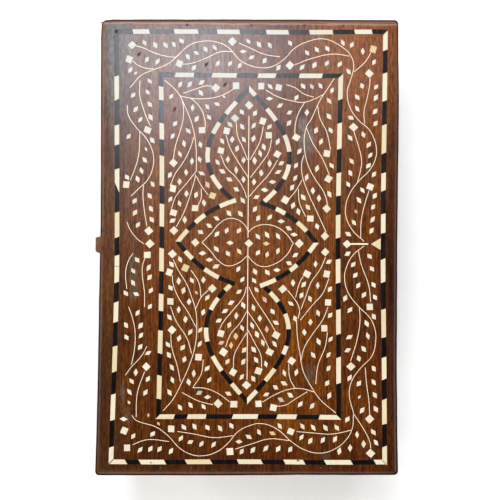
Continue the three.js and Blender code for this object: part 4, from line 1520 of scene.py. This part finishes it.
lay_vine(
    "medallion",
    stems=(
        ((69.3, 91.2), (78.1, 92), (87.2, 96), (94.7, 98.9)),
        ((78.1, 84.3), (86.7, 87.2), (96.3, 92.8), (106.9, 99.7)),
        ((91.5, 80.8), (100, 84.8), (106.4, 91.2), (114.7, 96.6), (120.3, 98.5)),
        ((71.7, 109.4), (81.9, 107.3), (94.7, 100.6)),
        ((80.8, 115), (89.3, 113.1), (97.9, 107.5), (106.7, 100.9)),
        ((94.7, 119.2), (104.3, 113.4), (112.8, 105.9), (119.5, 100.3)),
        ((143.4, 100.2), (139.2, 97.9), (135.2, 93), (134.4, 86), (138.6, 79.5), (144.2, 75), (150.3, 69)),
        ((150.3, 69), (156, 74.6), (162.6, 80.1), (166, 86), (164.1, 93.4), (159, 99.6)),
        ((143, 100.2), (140, 104), (138.3, 110), (139.8, 118.6), (144.5, 125.2), (150.8, 130)),
        ((150.8, 130), (158.5, 125.8), (165, 117), (166.4, 109), (163.5, 103.4), (159, 99.6)),
        ((180, 98.8), (186, 97.3), (196, 89.8), (204.3, 83.2), (208.1, 81.4)),
        ((195.4, 99.8), (204.3, 94.8), (211.5, 88.7), (220.3, 85.3)),
        ((209.8, 100), (219.2, 94.2), (225.5, 91.2), (234.1, 90.7)),
        ((180, 100.5), (186, 103.4), (201.2, 113.4), (209, 118.1)),
        ((196, 99.5), (209.2, 108.4), (220.9, 114.2)),
        ((208.7, 100.1), (218.1, 105.1), (225.3, 108.8), (233.6, 109.5)),
    ),
    buds={
        45: [(66.6, 90.3)],
        15: [(75.2, 84.8), (88.5, 81), (68.6, 109), (211.2, 82.1), (236.1, 107.4)],
        0: [(78.1, 113.1)],
        30: [(90.9, 118.9), (223.6, 84), (236.9, 90.5), (212.2, 119), (223.5, 114.8)],
    },
    leaves={
        55: [(62.4, 94.9), (72.4, 95.2), (70.9, 86.9), (81, 96.3), (82.1, 81.8), (96.4, 78.8), (122.1, 96),
             (154.8, 78.6), (157.8, 86.4), (156.4, 93.9), (146.4, 106.3), (145.2, 112.4), (146.1, 119.8),
             (130.7, 86.8), (131.1, 94.5), (170.4, 112.8), (175.9, 104), (182, 105.7), (188.6, 111.2),
             (196.5, 116.5), (218.1, 118), (221.9, 104.1), (228.8, 105.8), (241.3, 104)],
        90: [(81, 88.5), (94.5, 85.7), (94.9, 96.3), (101.6, 91.4), (108, 96.3), (95.3, 103.7),
             (97.1, 113.8), (103.6, 108.2), (109.6, 103.4), (199.4, 92.3), (213.1, 92.1), (219.1, 89),
             (201.1, 108), (208.4, 112.7)],
        110: [(87.1, 91.9), (80.4, 102.8), (82.4, 119.1), (142.4, 85.4), (158.4, 112.6), (156, 119.8),
              (205.5, 87.7)],
        30: [(102.5, 82.1), (108, 86.9), (114.6, 91.6), (134.2, 78.6), (139.1, 73.6), (143.4, 67.9),
             (140.8, 126.9), (164.2, 127.3), (204, 118.8)],
        125: [(63.2, 103.7), (71.6, 102.9), (72.4, 113.5), (144.7, 78.9), (142.4, 93.6), (157.2, 106.4),
              (168.2, 93.4), (175.2, 96.2), (127.9, 104.2), (134, 106.4), (133.4, 114.1), (222.2, 97.8),
              (229.9, 86.7), (230, 97.3), (240.1, 96.3)],
        70: [(86, 109.8), (90.5, 107.4), (169.9, 104.6), (192.4, 96.9), (207.5, 96.3), (194, 103.7),
             (205.9, 103), (211.8, 106.2), (217.4, 110.2), (231.5, 112.3)],
        150: [(97, 121.7), (102.9, 119.6), (119.8, 105.2), (166.4, 78.5), (183.3, 94), (158.7, 131.5),
              (190.7, 88.8), (196.2, 84.8), (202.6, 80.7), (217.4, 82.5)],
        0: [(109.6, 115.8), (115, 110.6), (150.6, 87.7), (151.1, 111.9), (157.6, 69.3), (162, 74),
            (136.1, 121.8), (145, 130.5), (168.8, 119.2)],
    },
)


# The vines on the walls: on each one a single wire runs in waves from end to end of the string frame,
# with a leaf on either side of it all the way and a short branch with a bud at every turn.
WALL_WAVES = {"front": 6, "back": 6, "left": 3, "right": 3}
WALL_WAVE_HEIGHT = 15.0
WALL_MIDDLE_HEIGHT = 45.5
WALL_VINE_MARGIN = 10.0
KNOTS_A_TURN = 3
LEAF_OVER, LEAF_UNDER = 5.6, 6.5
BRANCH_LOW, BUD_LOW = 6.0, 9.0
LEAF_SPREAD, LEAF_LEAN, LOW_LEAF_LEAN = 0.3, 120, 35

for side, waves in WALL_WAVES.items():
    half = WALL_HALF_LENGTH[side] / MM - WALL_VINE_MARGIN
    turns = waves * 2
    step = 2 * half / turns

    def wave(along):
        return WALL_MIDDLE_HEIGHT + WALL_WAVE_HEIGHT * math.sin((along + half) / step * math.pi)

    knots = turns * KNOTS_A_TURN
    spots = [-half + 2 * half * i / knots for i in range(knots + 1)]
    stems = [[(spot, wave(spot)) for spot in spots]]
    buds, leaves = {45: []}, {}
    for i in range(turns):
        crest = -half + step * (i + 0.5)
        way = 1 if i % 2 == 0 else -1
        stems.append([
            (crest - step * 0.42, wave(crest - step * 0.42)),
            (crest - step * 0.1, WALL_MIDDLE_HEIGHT + way * 2.0),
            (crest + step * 0.2, WALL_MIDDLE_HEIGHT - way * BRANCH_LOW),
        ])
        buds[45].append((crest + step * 0.35, WALL_MIDDLE_HEIGHT - way * BUD_LOW))
        for share in (-LEAF_SPREAD, 0.0, LEAF_SPREAD):
            place = crest + step * share
            lean = 90 - share * way * LEAF_LEAN
            leaves.setdefault(lean % 180, []).append((place, wave(place) + way * LEAF_OVER))
        under = (crest + step * 0.02, wave(crest) - way * LEAF_UNDER)
        leaves.setdefault((90 + way * LOW_LEAF_LEAN) % 180, []).append(under)
        beside = (crest - step * 0.12, WALL_MIDDLE_HEIGHT - way * BRANCH_LOW)
        leaves.setdefault((90 - way * LOW_LEAF_LEAN) % 180, []).append(beside)
    lay_vine(f"{side}_wall_vine", stems, buds, leaves, wall_panel(side), laid=lambda u, v: (u, v))


# The medallion's middle line: a thicker wire in two lengths down its long axis, bone diamonds at its
# middle and inside each tip, and on the back string a bone triangle with a short thick tie wire.
STEM_LINE = 100.0
MIDDLE_WIRE = 0.46
TIE_WIRE = 0.9
upper_stem = [(65.4, STEM_LINE + 0.1), (106, STEM_LINE), (147.4, STEM_LINE)]
lower_stem = [(153.8, STEM_LINE), (198, STEM_LINE), (242.4, STEM_LINE)]
lay_stems([upper_stem], "medallion_upper_stem", lid_panel, MIDDLE_WIRE, ["stem_wire_left"])
lay_stems([lower_stem], "medallion_lower_stem", lid_panel, MIDDLE_WIRE, ["stem_wire_right"])
lay_stems([[(151.2, 169.0), (151.2, 180.6)]], "tie_line", lid_panel, TIE_WIRE, ["tie_wire"])

DIAMONDS = {
    "centre": (150.9, 100.3),
    "left": (57.8, 99.7),
    "right": (245.5, 99.5),
    "front": (150.4, 64.4),
    "back": (151, 134),
}
for end, place in DIAMONDS.items():
    diamond = join_pieces([lay_bud(as_laid(*place), 45)], f"medallion_diamond_{end}", lid_panel, bone)
    settle(diamond, "bone", f"bone_diamond_{end}")

TRIANGLE = ((151.2, 182.4), (147.2, 188.9), (155.2, 188.9))
triangle = add_round(3, 0.5, 1, (0, 0, -0.5))
for vertex in triangle.data.vertices:
    spot = round(math.degrees(math.atan2(vertex.co.y, vertex.co.x)) / 120) % 3
    u, v = TRIANGLE[spot]
    vertex.co = (u * MM, v * MM, vertex.co.z * CHIP_DEEP + CHIP_PROUD)
triangle.data.attributes.new("tone", "FLOAT", "POINT")
settle(join_pieces([triangle], "back_string_triangle", lid_panel, bone), "bone", "bone_triangle")


# Age and repairs: slots that have lost their leaves and filled with dark wax and dirt, a dark plug over
# the lid's front left corner, the ends of pins that hold the lid's edges, chipped tiles, and splinters
# standing out from the chipped corner.
def make_old_dirt():
    """Old wax and dirt, near black and dull."""
    material, tree, shader = new_surface("old_dirt", Specular_IOR_Level=0.2)
    lumps = noise(tree, object_place(tree), (900, 900, 900), 3.0)
    colour = blend(tree, lumps, (0.02, 0.011, 0.008, 1), (0.08, 0.042, 0.028, 1))
    finish_surface(tree, shader, colour, spread(tree, lumps, 0.3, 0.7, 0.6, 0.8), lumps)
    return material


old_dirt = make_old_dirt()


def settle_lifted(bits, name, lift, material, slot):
    """Joins small pieces laid out on the lid, lifts them a little from its top and settles them."""
    panel = Matrix.Translation((0, 0, lift)) @ lid_panel
    settle(join_pieces(bits, name, panel, material), slot)


def lay_slivers(rows):
    """Thin pieces by their middle, length, width and the way they point."""
    return [lay_chip(leaf_blank, (u, v), long, wide, turn) for u, v, long, wide, turn in rows]


LOST_LEAVES = ((23.2, 25.2, 125), (30.2, 70.7, 125), (44, 83.2, 125), (60.5, 49.6, 120))
LOST_LEAF = (5.0, 2.1)
slots = lay_slivers([(*as_laid(u, v), *LOST_LEAF, angle) for u, v, angle in LOST_LEAVES])
settle_lifted(slots, "filled_leaf_slots", -FLUSH, old_dirt, "wood")

NICKS = ((167.2, 12.2, 4.8, 0.4, 5), (295.6, 134.2, 2.4, 1.1, 15), (297.6, 36.4, 1.6, 1.0, 60))
settle_lifted(lay_slivers(NICKS), "chipped_tile_ends", FLUSH, ebony, "ebony")

NO_EDGE = (1.0, 1.0, 1.0)
SPLINTER_DROP = 0.0014
SPLINTERS = ((1.7, 1.3, 4.0, 0.6, -8), (2.1, 0.4, 3.8, 0.5, -3))
splinters = lay_slivers(SPLINTERS)
splinter_wood = board_wood("splinter_wood", 0.0, NO_EDGE)
settle_lifted(splinters, "corner_splinters", -SPLINTER_DROP, splinter_wood, "wood")

PIN_LONG = 0.0012
PIN_MIDDLE = -0.00056
PINS = (
    (3.75, 57.9, 0.9), (3.75, 101.4, 0.8), (3.75, 137.1, 0.9), (3.75, 163.4, 0.8),
    (300.9, 42.8, 0.9), (301.4, 63, 0.9), (300.4, 149.6, 0.8), (300.4, 155.6, 0.8),
    (8.4, 10.0, 1.35), (12.4, 8.4, 0.5),
)
ends = [add_round(14, radius * MM, PIN_LONG, (u * MM, v * MM, PIN_MIDDLE)) for u, v, radius in PINS]
for end in ends:
    end.data.attributes.new("tone", "FLOAT", "POINT")
settle_lifted(ends, "plug_and_pins", FLUSH, old_dirt, "wood")


# What is left as it comes from the solids: the battens under the lid, of the same wood, glued across its
# underside just inside the walls.
for side, turn in GRAIN_TURNS.items():
    batten_wood = board_wood(f"{side}_batten_wood", turn, NO_EDGE)
    wear_material(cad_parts[f"lid_batten_{side}"], batten_wood)

for blank in (short_tile, long_tile, leaf_blank, bud_blank):
    bpy.data.objects.remove(blank)
